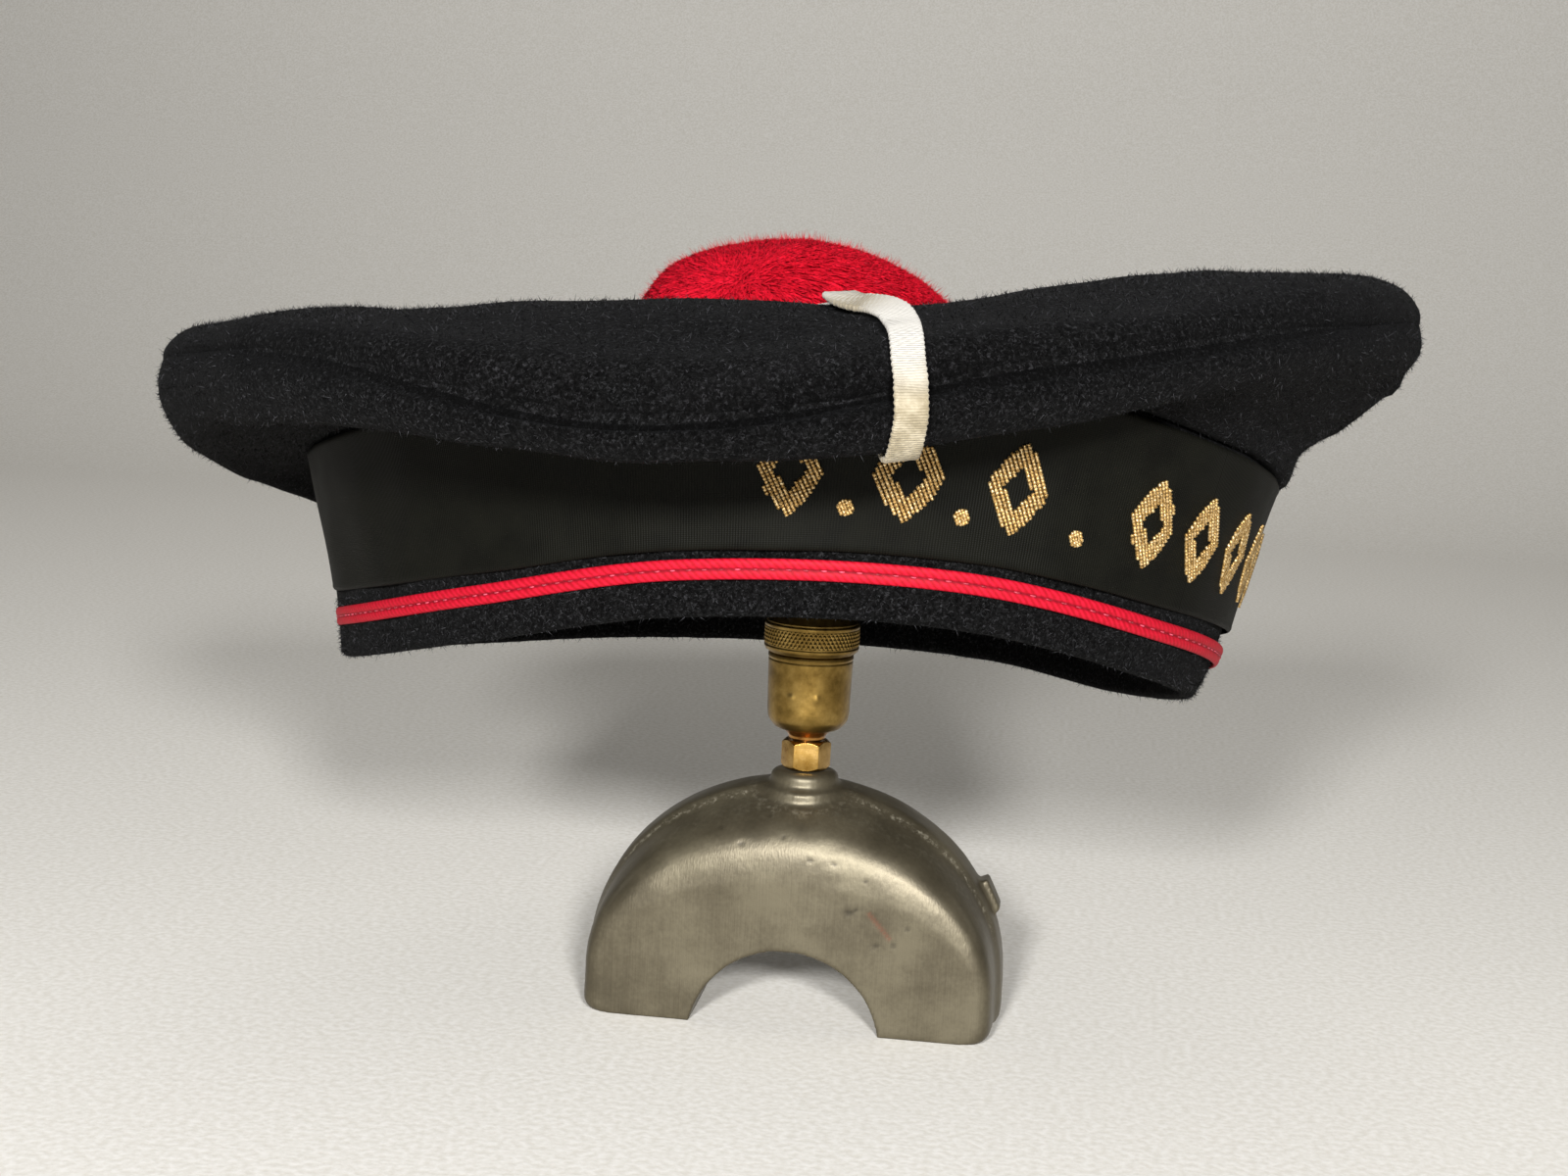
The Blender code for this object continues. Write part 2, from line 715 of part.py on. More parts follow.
def make_cup(collection, parent):
    top = cup_low() + CUP_HEIGHT
    points = [(0.0, top), (CUP_RADIUS - CLEARANCE, top), (CUP_RADIUS, top - CLEARANCE)]
    points.append((CUP_FOOT_RADIUS, cup_low() + CUP_ROUND))
    for k in range(1, 5):
        turn = math.radians(90.0 * k / 4)
        points.append(
            (
                CUP_FOOT_RADIUS - CUP_ROUND * (1 - math.cos(turn)),
                cup_low() + CUP_ROUND * (1 - math.sin(turn)),
            )
        )
    points += [
        (NECK_RADIUS, cup_low()),
        (NECK_RADIUS, neck_low()),
        (SHANK_RADIUS, neck_low()),
        (SHANK_RADIUS, boss_top() - SHANK_DEPTH + CLEARANCE),
        (0.0, boss_top() - SHANK_DEPTH + CLEARANCE),
    ]
    cup = place(profile_mesh(points), "brass_cup", collection, "brass", parent)
    add_screw(cup, TURNED_STEPS)
    return cup


def make_collar(collection, parent):
    low, high = collar_low(), collar_low() + COLLAR_HEIGHT
    inner = COLLAR_RADIUS - COLLAR_WALL
    points = (
        (0.0, low + COLLAR_FLOOR),
        (inner, low + COLLAR_FLOOR),
        (inner, high),
        (COLLAR_RADIUS - COLLAR_WALL / 3, high),
        (COLLAR_RADIUS, high - COLLAR_WALL / 2),
        (COLLAR_RADIUS, low + COLLAR_WALL),
        (CUP_RADIUS, low),
        (0.0, low),
    )
    collar = place(profile_mesh(points), "knurled_collar", collection, "brass", parent)
    add_screw(collar, TURNED_STEPS)
    return collar


def make_post(collection, cutters, parent, cap_matrix):
    """A plain rod with a plain round pad, tilted to lie flat against the underside of the crown."""
    up = (cap_matrix.to_3x3() @ Vector((0.0, 0.0, 1.0))).normalized()
    head = Vector((0.0, 0.0, POST_TOP)) - up * PAD_THICKNESS
    rod = cylinder(POST_RADIUS, post_low(), head.z + PAD_THICKNESS / 2, steps=20)
    post = place(rod, "support_post", collection, "brass", parent)
    pad = cylinder(PAD_RADIUS, 0.0, PAD_THICKNESS, steps=28)
    aim = up.to_track_quat("Z", "Y").to_matrix().to_4x4()
    bmesh.ops.transform(pad, matrix=Matrix.Translation(head) @ aim, verts=pad.verts)
    add_boolean(post, "UNION", make_cutter(pad, "pad", cutters, parent))
    return post


# How the pieces stand together


def cap_placement():
    """Carries the cap's frame into the stand's, so that the crown rests on the post's pad."""
    turn = Matrix.Rotation(math.radians(CAP_FRONT), 4, "Z")
    side = math.radians(CAP_RAISED_SIDE)
    hinge = Vector((math.sin(side), -math.cos(side), 0.0))
    tilt = Matrix.Rotation(math.radians(CAP_TILT), 4, hinge)
    turned = turn @ tilt
    up = turned.to_3x3() @ Vector((0.0, 0.0, 1.0))
    under_crown = CROWN_HEIGHT - CROWN_WALL - CLEARANCE
    rise = POST_TOP - (under_crown + up.x * CAP_SHIFT[0] + up.y * CAP_SHIFT[1]) / up.z
    return Matrix.Translation((CAP_SHIFT[0], CAP_SHIFT[1], rise)) @ turned


def stand_in_the_middle(root, pieces):
    """Moves the whole display so that the origin is the middle of its box, on the floor."""
    bpy.context.view_layer.update()
    graph = bpy.context.evaluated_depsgraph_get()
    points = []
    for piece in pieces:
        shown = piece.evaluated_get(graph)
        points += [shown.matrix_world @ v.co for v in shown.data.vertices]
    low = [min(p[k] for p in points) for k in range(3)]
    high = [max(p[k] for p in points) for k in range(3)]
    root.location = (-(low[0] + high[0]) / 2, -(low[1] + high[1]) / 2, -low[2])
    bpy.context.view_layer.update()


def main():
    clear_scene()
    parts = make_collection("sailor_cap_on_stand")
    cutters = make_collection("cutters")
    display = bpy.data.objects.new("display", None)
    cap = bpy.data.objects.new("cap", None)
    parts.objects.link(display)
    parts.objects.link(cap)
    cap.parent = display
    cap.matrix_local = cap_placement()

    pieces = [
        make_headband(parts, cap),
        make_ribbon(parts, cap),
        make_piping(parts, cap),
        make_crown_under(parts, cap),
        make_crown_top(parts, cap),
        make_pompom(parts, cutters, cap),
        make_strap(parts, cap),
        make_base(parts, cutters, display),
        make_nut(parts, cutters, display),
        make_cup(parts, display),
        make_collar(parts, display),
        make_post(parts, cutters, display, cap_placement()),
    ]
    stand_in_the_middle(display, pieces)


main()
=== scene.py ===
# A round dark sailor's cap with a red pompom, tilted on a small metal stand, in metres.
# The cap is worked out in its own frame: X to its front and Z up through the crown.
# Angles are degrees from the cap's front, counted anticlockwise from above.
import math

import bmesh
import bpy
import numpy as np
from mathutils import Matrix, Vector


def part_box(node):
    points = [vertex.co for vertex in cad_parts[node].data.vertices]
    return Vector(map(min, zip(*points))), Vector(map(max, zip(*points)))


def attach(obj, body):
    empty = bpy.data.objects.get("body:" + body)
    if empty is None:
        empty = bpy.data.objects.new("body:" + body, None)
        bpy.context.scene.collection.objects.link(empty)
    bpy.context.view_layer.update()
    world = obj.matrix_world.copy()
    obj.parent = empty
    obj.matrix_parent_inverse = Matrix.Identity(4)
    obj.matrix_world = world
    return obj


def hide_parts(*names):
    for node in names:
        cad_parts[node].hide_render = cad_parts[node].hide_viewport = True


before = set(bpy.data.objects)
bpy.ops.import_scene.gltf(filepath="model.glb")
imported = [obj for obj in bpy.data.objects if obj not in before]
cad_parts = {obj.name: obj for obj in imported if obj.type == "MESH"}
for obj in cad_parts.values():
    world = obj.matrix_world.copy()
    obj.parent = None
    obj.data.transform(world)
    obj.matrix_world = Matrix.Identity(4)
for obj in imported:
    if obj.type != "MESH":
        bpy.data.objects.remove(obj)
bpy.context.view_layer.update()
scene = bpy.context.scene
dice = np.random.default_rng(11)
print("frame loaded:", len(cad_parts), "nodes")

# Where the stand and the cap are. The post's axis is the brass cup's own.
cupLow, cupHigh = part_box("brass_cup")
standFoot = Vector(((cupLow.x + cupHigh.x) / 2, (cupLow.y + cupHigh.y) / 2, 0.0))
standMatrix = Matrix.Translation(standFoot)
capSeat = dict(front=-32.8, tilt=10.7, raisedSide=-50.0, shift=(-0.0091, -0.0012), postTop=0.1385,
               underCrown=0.0607)
raised = math.radians(capSeat["raisedSide"])
capTurn = Matrix.Rotation(math.radians(capSeat["front"]), 4, "Z") @ Matrix.Rotation(
    math.radians(capSeat["tilt"]), 4, Vector((math.sin(raised), -math.cos(raised), 0.0)))
capUp = capTurn.to_3x3() @ Vector((0.0, 0.0, 1.0))
shiftX, shiftY = capSeat["shift"]
capRise = capSeat["postTop"] - (capSeat["underCrown"] + capUp.x * shiftX + capUp.y * shiftY) / capUp.z
capMatrix = standMatrix @ Matrix.Translation((shiftX, shiftY, capRise)) @ capTurn


# Small helpers for meshes

def buildMesh(name, points, faceSets, corners=None):
    # faceSets holds arrays of triangles and quads, and corners a UV in metres for each of their corners
    mesh = bpy.data.meshes.new(name)
    counts = np.concatenate([np.full(len(faces), faces.shape[1]) for faces in faceSets])
    indices = np.concatenate([faces.ravel() for faces in faceSets]).astype(np.int32)
    starts = np.concatenate(([0], np.cumsum(counts)[:-1])).astype(np.int32)
    mesh.vertices.add(len(points))
    mesh.vertices.foreach_set("co", np.asarray(points, np.float32).ravel())
    mesh.loops.add(len(indices))
    mesh.loops.foreach_set("vertex_index", indices)
    mesh.polygons.add(len(counts))
    mesh.polygons.foreach_set("loop_start", starts)
    mesh.update(calc_edges=True)
    if corners is not None:
        layer = mesh.uv_layers.new(name="weave")
        layer.uv.foreach_set("vector", np.asarray(corners, np.float32).ravel())
    mesh.shade_smooth()
    return mesh


def meshFromBm(bm, name):
    mesh = bpy.data.meshes.new(name)
    bmesh.ops.recalc_face_normals(bm, faces=bm.faces)
    bm.to_mesh(mesh)
    bm.free()
    return mesh


def readMesh(mesh, key="co"):
    values = np.empty(len(mesh.vertices) * 3)
    mesh.vertices.foreach_get(key, values)
    return values.reshape(-1, 3)


def moveMesh(mesh, spots):
    mesh.vertices.foreach_set("co", spots.ravel())
    mesh.update()
    mesh.shade_smooth()


def linkObject(name, mesh):
    thing = bpy.data.objects.new(name, mesh)
    scene.collection.objects.link(thing)
    return thing


def bakedMesh(thing):
    # the mesh with its modifiers applied
    bpy.context.view_layer.update()
    return bpy.data.meshes.new_from_object(thing.evaluated_get(bpy.context.evaluated_depsgraph_get()))


def addPiece(name, mesh, finish, nodes=(), matrix=capMatrix):
    piece = linkObject(name, mesh)
    mesh.materials.append(finish)
    if matrix == standMatrix:
        piece.matrix_world = matrix
    else:
        mesh.transform(matrix)  # the tilt goes into the mesh, so that the piece's box fits it closely
    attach(piece, "root")
    if nodes:
        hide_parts(*nodes)


def paintMesh(mesh, marks):
    # one number for each vertex, which the material reads by its name
    for name, values in marks.items():
        mark = mesh.attributes.new(name, "FLOAT", "POINT")
        mark.data.foreach_set("value", np.asarray(values, np.float32).ravel())


def fan(first, columns, tip, flip=False):
    # triangles from a ring of points to one point
    ring = first + np.arange(columns)
    pair = [ring, np.roll(ring, -1)]
    return np.stack([*(pair[::-1] if flip else pair), np.full(columns, tip)], -1)


def ringFaces(rows, columns, joined=False):
    # quads of a grid whose columns go right round; joined also joins the last row to the first
    k, i = np.meshgrid(np.arange(columns), np.arange(rows if joined else rows - 1))
    after, above = (k + 1) % columns, (i + 1) % rows
    quads = np.stack([i * columns + k, i * columns + after, above * columns + after, above * columns + k], -1)
    return quads.reshape(-1, 4), i.ravel(), k.ravel()


def gridCorners(i, k, around, up):
    # UVs that run on past the last column instead of jumping back
    return np.stack([np.stack([around[k + a], up[i + b]], -1) for a, b in ((0, 0), (1, 0), (1, 1), (0, 1))], 1)


def lengthsAlong(points):
    steps = np.linalg.norm(np.diff(points, axis=0), axis=-1)
    return np.concatenate([np.zeros_like(steps[:1]), np.cumsum(steps, axis=0)])


def ringPiece(name, rows, finish, nodes, marks=None):
    # rows go up the outer face and down the inner one, and close into one tube round the cap
    quads, i, k = ringFaces(*rows.shape[:2], True)
    up = lengthsAlong(np.concatenate([rows, rows[:1]])).mean(1)
    around = lengthsAlong(np.concatenate([rows[0], rows[0, :1]]))
    mesh = buildMesh(name, rows.reshape(-1, 3), [quads], gridCorners(i, k, around, up))
    paintMesh(mesh, marks or {})
    addPiece(name, mesh, finish, nodes)


def angleRow(columns):
    return np.arange(columns) * 360.0 / columns


def bell(away, wide):
    # 1 in the middle, fading out over about this width
    return np.exp(-((away / wide) ** 2))


def softNoise(points, size, seed, waves=20):
    # smooth lumps of about this size, with a spread of about 1
    pick = np.random.default_rng(seed)
    aim = pick.normal(size=(waves, 3))
    rates = (2 * math.pi / size) * pick.uniform(0.6, 1.5, (waves, 1))
    aim *= rates / np.linalg.norm(aim, axis=1, keepdims=True)
    return np.cos(points @ aim.T + pick.uniform(0, 2 * math.pi, waves)).sum(-1) / math.sqrt(waves / 2)


def unit(vectors):
    return vectors / np.maximum(np.linalg.norm(vectors, axis=-1, keepdims=True), 1e-12)


def crossGuide(vectors):
    # a direction that isn't along these ones, to take cross products with
    return np.where(np.abs(vectors[..., 2:]) < 0.9, (0.0, 0.0, 1.0), (1.0, 0.0, 0.0))


def gridNormals(grid):
    # outward normals of rows that go round anticlockwise and then up
    return unit(np.cross(np.roll(grid, -1, axis=1) - np.roll(grid, 1, axis=1), np.gradient(grid, axis=0)))


def spikes(name, roots, tips, width):
    # thin closed three-sided hairs
    aim = unit(tips - roots)
    side = unit(np.cross(aim, crossGuide(aim)))
    other = np.cross(aim, side)
    corners = [roots + (side * math.cos(turn) + other * math.sin(turn)) * width
               for turn in (math.radians(t) for t in (0, 120, 240))]
    points = np.stack([*corners, tips], 1).reshape(-1, 3)
    start = np.arange(len(roots))[:, None] * 4
    faces = [start + face for face in ((0, 1, 3), (1, 2, 3), (2, 0, 3), (2, 1, 0))]
    return buildMesh(name, points, [np.concatenate(faces)])


def strandTubes(paths, radii, sides, flat=None):
    # closed tubes along paths (many, points, 3), pointed at both ends and turned to face flat if it is given
    many, count = paths.shape[:2]
    aim = unit(np.gradient(paths, axis=1))
    side = unit(np.cross(aim, crossGuide(aim) if flat is None else flat))
    lift = np.cross(side, aim)
    inner = slice(1, count - 1)
    rings = [paths[:, inner] + (side * math.cos(turn) + lift * math.sin(turn))[:, inner] * radii[:, inner, None]
             for turn in (2 * math.pi * n / sides for n in range(sides))]
    points = np.concatenate([paths[:, :1], np.stack(rings, 2).reshape(many, -1, 3), paths[:, -1:]], 1)
    per, last = points.shape[1], 1 + (count - 3) * sides
    quads, triangles = [], []
    for n in range(sides):
        m = (n + 1) % sides
        quads += [(a + n, a + m, a + sides + m, a + sides + n) for a in range(1, last, sides)]
        triangles += [(0, 1 + m, 1 + n), (per - 1, last + n, last + m)]
    start = np.arange(many)[:, None, None] * per
    faceSets = [(start + np.array(faces)).reshape(-1, len(faces[0])) for faces in (triangles, quads)]
    return points.reshape(-1, 3), faceSets


# Small helpers for materials

def toLinear(hexColour):
    parts = [int(hexColour[k:k + 2], 16) / 255 for k in (1, 3, 5)]
    return (*[p / 12.92 if p <= 0.04045 else ((p + 0.055) / 1.055) ** 2.4 for p in parts], 1.0)


def perMetre(millimetres):
    return 1000.0 / millimetres  # a noise's Scale for features of this size


def perWave(millimetres):
    return 314.16 / millimetres  # a wave's Scale for bands this far apart: at Scale 1 they are pi / 10 apart


mainOutput = {"TexCoord": "Object", "TexNoise": "Fac", "TexWave": "Fac", "Attribute": "Fac", "Mix": 2}
scaledSum = {"operation": "MULTIPLY_ADD"}  # socket 0 times socket 1, plus socket 2
colourMix = {"data_type": "RGBA"}  # by socket 0, from socket 6's colour to socket 7's


def addNode(tree, kind, settings, outputs):
    # a setting is the node's own, or a socket's value, its hex colour or the label of the node that feeds it
    own = kind == "Principled BSDF"
    node = tree.nodes[kind] if own else tree.nodes.new("ShaderNode" + kind)
    for key, value in settings.items():
        if key == "stops":  # a colour ramp's positions and colours
            ramp = node.color_ramp.elements
            for stop, (position, colour) in ((0, value[0]), (1, value[-1])):
                ramp[stop].position, ramp[stop].color = position, toLinear(colour)
            for position, colour in value[1:-1]:
                ramp.new(position).color = toLinear(colour)
        elif isinstance(key, str) and hasattr(node, key):
            setattr(node, key, value)
        elif isinstance(value, str) and value in outputs:
            tree.links.new(outputs[value], node.inputs[key])
        else:
            node.inputs[key].default_value = toLinear(value) if isinstance(value, str) else value
    return node.outputs[mainOutput.get(kind, 0)]


def makeMaterial(name, nodes, shader):
    # nodes holds each node's label, kind and settings, and shader the settings of the last one
    made = bpy.data.materials.new(name)
    made.use_nodes = True
    outputs = {}
    for label, (kind, settings) in nodes.items():
        outputs[label] = addNode(made.node_tree, kind, settings, outputs)
    addNode(made.node_tree, "Principled BSDF", shader, outputs)
    return made


# Fulled wool cloth, woven, shrunk and raised: matt, almost black, with a mottled nap and pale blue-grey
# fibres lying every way in it, and with painted shade along the seam and a painted highlight streak in front
fulledWool = makeMaterial("fulledWool", {
    "spot": ("TexCoord", {}),
    "mottle": ("TexNoise", {"Vector": "spot", "Scale": perMetre(5.0), "Detail": 4.0}),
    "fibre": ("TexNoise", {"Vector": "spot", "Scale": perMetre(0.75), "Detail": 5.0, "Roughness": 0.7,
                           "Distortion": 0.6}),
    "fleck": ("TexNoise", {"Vector": "spot", "Scale": perMetre(0.6), "Detail": 2.0, "Distortion": 0.8}),
    "both": ("Math", {**scaledSum, 0: "mottle", 1: 0.12, 2: "fibre"}),
    "ground": ("ValToRGB", {"Fac": "both", "stops": [(0.43, "#010101"), (0.53, "#060606"), (0.62, "#0d0d0d"),
                                                     (0.73, "#1c1c1d")]}),
    # brushed: the nap rubbed lighter along the rim, and a painted highlight streak across the front
    "brushed": ("Attribute", {"attribute_name": "brushed"}),
    "amount": ("MapRange", {"Value": "fleck", "From Min": 0.56, "From Max": 0.74, "To Max": 0.7}),
    "more": ("Math", {**scaledSum, 0: "brushed", 1: 0.04, 2: "amount"}),
    "colour": ("Mix", {**colourMix, 0: "more", 6: "ground", 7: "#38383a"}),
    # painted shade: the seam's crease is mixed towards near black
    "crease": ("Attribute", {"attribute_name": "crease"}),
    "sunk": ("Mix", {**colourMix, 0: "crease", 6: "colour", 7: "#010101"}),
    "height": ("Math", {"operation": "ADD", 0: "fibre", 1: "amount"}),
    "bump": ("Bump", {"Height": "height", "Strength": 0.9, "Distance": 0.0004}),
}, {"Base Color": "sunk", "Normal": "bump", "Roughness": 0.95, "Specular IOR Level": 0.05,
    "Sheen Weight": 0.02, "Sheen Roughness": 0.5, "Sheen Tint": "#a4a6aa"})

# Raised wool hairs: the same cloth's loose ends, each with its own tone, a few of them pale
raisedWoolHair = makeMaterial("raisedWoolHair", {
    "tone": ("Attribute", {"attribute_name": "tone"}),
    "spot": ("TexCoord", {}),
    "dust": ("TexNoise", {"Vector": "spot", "Scale": perMetre(1.5)}),
    "both": ("Math", {**scaledSum, 0: "dust", 1: 0.2, 2: "tone"}),
    "tint": ("ValToRGB", {"Fac": "both", "stops": [(0.20, "#040404"), (0.75, "#101010"), (0.92, "#2c2c2e"),
                                                   (1.0, "#454548")]}),
}, {"Base Color": "tint", "Roughness": 0.9, "Specular IOR Level": 0.08})

# Silk rep ribbon, woven with fine upright ribs: a dull olive-black sheen. The real ribs are
# about 0.3 mm apart, and are drawn 0.5 mm apart so that they show.
silkRepRibbon = makeMaterial("silkRepRibbon", {
    "weave": ("UVMap", {"uv_map": "weave"}),
    "ribs": ("TexWave", {"Vector": "weave", "bands_direction": "X", "Scale": perWave(0.50), "Distortion": 0.6,
                         "Detail": 1.0}),
    "picks": ("TexWave", {"Vector": "weave", "bands_direction": "Y", "Scale": perWave(0.35),
                          "Distortion": 0.4}),
    "cloudy": ("TexNoise", {"Vector": "weave", "Scale": perMetre(7.0), "Detail": 5.0}),
    "mixed": ("Math", {**scaledSum, 0: "ribs", 1: 0.35, 2: "cloudy"}),
    "tint": ("ValToRGB", {"Fac": "mixed", "stops": [(0.42, "#040402"), (0.80, "#0d0d08")]}),
    "thread": ("Math", {**scaledSum, 0: "picks", 1: 0.4, 2: "ribs"}),
    "bump": ("Bump", {"Height": "thread", "Strength": 0.5, "Distance": 0.00012}),
    "gloss": ("MapRange", {"Value": "cloudy", "To Min": 0.50, "To Max": 0.66}),
}, {"Base Color": "tint", "Roughness": "gloss", "Normal": "bump", "Specular IOR Level": 0.08})

# Gilt thread, a flat metal strip wound on silk: warm sparkle on top, brown between the floats
giltThread = makeMaterial("giltThread", {
    "spot": ("TexCoord", {}),
    "glint": ("TexNoise", {"Vector": "spot", "Scale": perMetre(0.5), "Detail": 3.0, "Roughness": 0.7}),
    "tint": ("ValToRGB", {"Fac": "glint", "stops": [(0.30, "#4a3414"), (0.50, "#b48f52"), (0.68, "#f0dcae")]}),
    "bump": ("Bump", {"Height": "glint", "Strength": 0.6, "Distance": 0.0001}),
}, {"Base Color": "tint", "Normal": "bump", "Metallic": 0.7, "Roughness": 0.40})

# Rayon soutache braid, plaited over two cords: clear red with a soft gloss on each thread, and painted shade
# down the groove between the cords
rayonSoutache = makeMaterial("rayonSoutache", {
    "weave": ("UVMap", {"uv_map": "weave"}),
    "slant": ("TexWave", {"Vector": "weave", "bands_direction": "DIAGONAL", "Scale": perWave(0.72),
                          "Distortion": 1.2, "Detail": 2.0}),
    "speck": ("TexNoise", {"Vector": "weave", "Scale": perMetre(1.2), "Detail": 4.0}),
    "mixed": ("Math", {**scaledSum, 0: "slant", 1: 0.5, 2: "speck"}),
    "tint": ("ValToRGB", {"Fac": "mixed", "stops": [(0.30, "#8c0618"), (0.60, "#9e0a1c"), (1.0, "#b4122a")]}),
    # painted shade in the groove between the cords
    "groove": ("Attribute", {"attribute_name": "groove"}),
    "colour": ("Mix", {**colourMix, 0: "groove", 6: "tint", 7: "#560410"}),
    "bump": ("Bump", {"Height": "mixed", "Strength": 0.3, "Distance": 0.00015}),
}, {"Base Color": "colour", "Normal": "bump", "Roughness": 0.6, "Specular IOR Level": 0.12})

# Sewing thread in the braid's groove, glossier and a shade paler than the braid
redSewingThread = makeMaterial("redSewingThread", {
    "spot": ("TexCoord", {}),
    "noise": ("TexNoise", {"Vector": "spot", "Scale": perMetre(2.0)}),
    "tint": ("ValToRGB", {"Fac": "noise", "stops": [(0.4, "#7c0818"), (0.70, "#d8506a")]}),
}, {"Base Color": "tint", "Roughness": 0.5, "Sheen Weight": 0.05})

# Combed worsted yarn, dyed red and cut: soft and matt with fine brighter streaks
combedWorsted = makeMaterial("combedWorsted", {
    "spot": ("TexCoord", {}),
    "streak": ("TexNoise", {"Vector": "spot", "Scale": perMetre(1.2), "Detail": 5.0, "Roughness": 0.65,
                            "Distortion": 0.8}),
    "tint": ("ValToRGB", {"Fac": "streak", "stops": [(0.28, "#b00a1e"), (0.50, "#c61026"), (0.72, "#d41c36")]}),
    "bump": ("Bump", {"Height": "streak", "Strength": 0.3, "Distance": 0.0002}),
}, {"Base Color": "tint", "Normal": "bump", "Roughness": 0.9, "Specular IOR Level": 0.08,
    "Sheen Weight": 0.04, "Sheen Roughness": 0.5, "Sheen Tint": "#ff4058"})

# Mercerised cotton tape, closely woven: creamy white and faintly pearly, paler over the rim and the crown, with
# painted shade at the bend
cottonTape = makeMaterial("cottonTape", {
    "weave": ("UVMap", {"uv_map": "weave"}),
    "cross": ("TexWave", {"Vector": "weave", "bands_direction": "Y", "Scale": perWave(0.45), "Distortion": 0.8,
                          "Detail": 1.0}),
    "patch": ("TexNoise", {"Vector": "weave", "Scale": perMetre(4.0), "Detail": 5.0}),
    "fleck": ("TexNoise", {"Vector": "weave", "Scale": perMetre(0.6), "Detail": 2.0}),
    "mixed": ("Math", {**scaledSum, 0: "fleck", 1: 0.3, 2: "patch"}),
    "tint": ("ValToRGB", {"Fac": "mixed", "stops": [(0.42, "#6e634c"), (0.60, "#887d65"), (0.85, "#aaa08a")]}),
    # paler over the rim and the crown, darker cream elsewhere
    "sunned": ("Attribute", {"attribute_name": "bleached"}),
    "colour": ("Mix", {**colourMix, 0: "sunned", 6: "tint", 7: "#b6b3ad"}),
    # painted shade at the bend, where the tape folds over on top of the crown
    "handled": ("Attribute", {"attribute_name": "handled"}),
    "greyed": ("Mix", {**colourMix, 0: "handled", 6: "colour", 7: "#7d7462"}),
    "bump": ("Bump", {"Height": "cross", "Strength": 0.6, "Distance": 0.00015}),
}, {"Base Color": "greyed", "Normal": "bump", "Roughness": 0.62, "Sheen Weight": 0.25, "Sheen Tint": "#fffaf0"})

# Cast white metal, nickelled, ground on its flat face and tarnished: grey-olive with a satin
# gloss, fine upright brush marks in front, dark pits, and chalky deposits along the ridge
tarnishedCastMetal = makeMaterial("tarnishedCastMetal", {
    "spot": ("TexCoord", {}),
    "cloud": ("TexNoise", {"Vector": "spot", "Scale": perMetre(14.0), "Detail": 5.0, "Roughness": 0.5}),
    "grain": ("TexNoise", {"Vector": "spot", "Scale": perMetre(0.9), "Detail": 3.0}),
    "upright": ("Mapping", {"Vector": "spot", "Scale": (1.0, 1.0, 0.03)}),
    "brush": ("TexNoise", {"Vector": "upright", "Scale": perMetre(0.35), "Detail": 2.0}),
    "front": ("Attribute", {"attribute_name": "ground"}),
    "marks": ("Math", {"operation": "MULTIPLY", 0: "brush", 1: "front"}),
    "grained": ("Math", {**scaledSum, 0: "grain", 1: 0.35, 2: "cloud"}),
    "brushed": ("Math", {**scaledSum, 0: "marks", 1: 0.22, 2: "grained"}),
    "tint": ("ValToRGB", {"Fac": "brushed", "stops": [(0.42, "#494335"), (0.68, "#575040"),
                                                      (0.92, "#665f4d")]}),
    "pit": ("Attribute", {"attribute_name": "pit"}),
    "pitted": ("Mix", {**colourMix, 0: "pit", 6: "tint", 7: "#2a251e"}),
    "rust": ("Attribute", {"attribute_name": "rust"}),
    "rusty": ("Mix", {**colourMix, 0: "rust", 6: "pitted", 7: "#6e4838"}),
    "ridge": ("Attribute", {"attribute_name": "chalk"}),
    "patchy": ("TexNoise", {"Vector": "spot", "Scale": perMetre(1.3), "Detail": 6.0, "Roughness": 0.75}),
    "spots": ("MapRange", {"Value": "patchy", "From Min": 0.50, "From Max": 0.62}),
    "chalk": ("Math", {"operation": "MULTIPLY", 0: "ridge", 1: "spots"}),
    "colour": ("Mix", {**colourMix, 0: "chalk", 6: "rusty", 7: "#a8a290"}),
    "metal": ("Math", {**scaledSum, 0: "chalk", 1: -0.5, 2: 0.6}),
    "gloss": ("MapRange", {"Value": "cloud", "From Min": 0.3, "From Max": 0.7, "To Min": 0.36, "To Max": 0.50}),
    "height": ("Math", {**scaledSum, 0: "grain", 1: 0.5, 2: "marks"}),
    "bump": ("Bump", {"Height": "height", "Strength": 0.35, "Distance": 0.00012}),
}, {"Base Color": "colour", "Metallic": "metal", "Roughness": "gloss", "Normal": "bump"})


# Turned brass: aged is dull brown-gold with handling marks, coppery is the stained neck, and
# polished is the bright new nut
def makeBrass(name, dark, body, light, rough, wear):
    return makeMaterial(name, {
        "spot": ("TexCoord", {}),
        "cloud": ("TexNoise", {"Vector": "spot", "Scale": perMetre(4.0), "Detail": 6.0, "Roughness": 0.65}),
        "ringed": ("Mapping", {"Vector": "spot", "Scale": (0.15, 0.15, 1.0)}),
        "lathe": ("TexNoise", {"Vector": "ringed", "Scale": perMetre(0.3), "Detail": 2.0}),
        "tint": ("ValToRGB", {"Fac": "cloud", "stops": [(0.32, dark), (0.50, body), (0.68, light)]}),
        "gloss": ("MapRange", {"Value": "cloud", "From Min": 0.3, "From Max": 0.7, "To Min": rough + wear,
                               "To Max": rough - wear / 2}),
        "bump": ("Bump", {"Height": "lathe", "Strength": 0.25, "Distance": 0.00005}),
    }, {"Base Color": "tint", "Roughness": "gloss", "Normal": "bump", "Metallic": 1.0})


agedBrass = makeBrass("agedBrass", "#6a5428", "#866c38", "#9c824a", 0.34, 0.05)
copperyBrass = makeBrass("copperyBrass", "#6a4220", "#a87a40", "#c89858", 0.32, 0.06)
polishedBrass = makeBrass("polishedBrass", "#8a662a", "#a88648", "#c8a66a", 0.24, 0.05)
print("materials made")

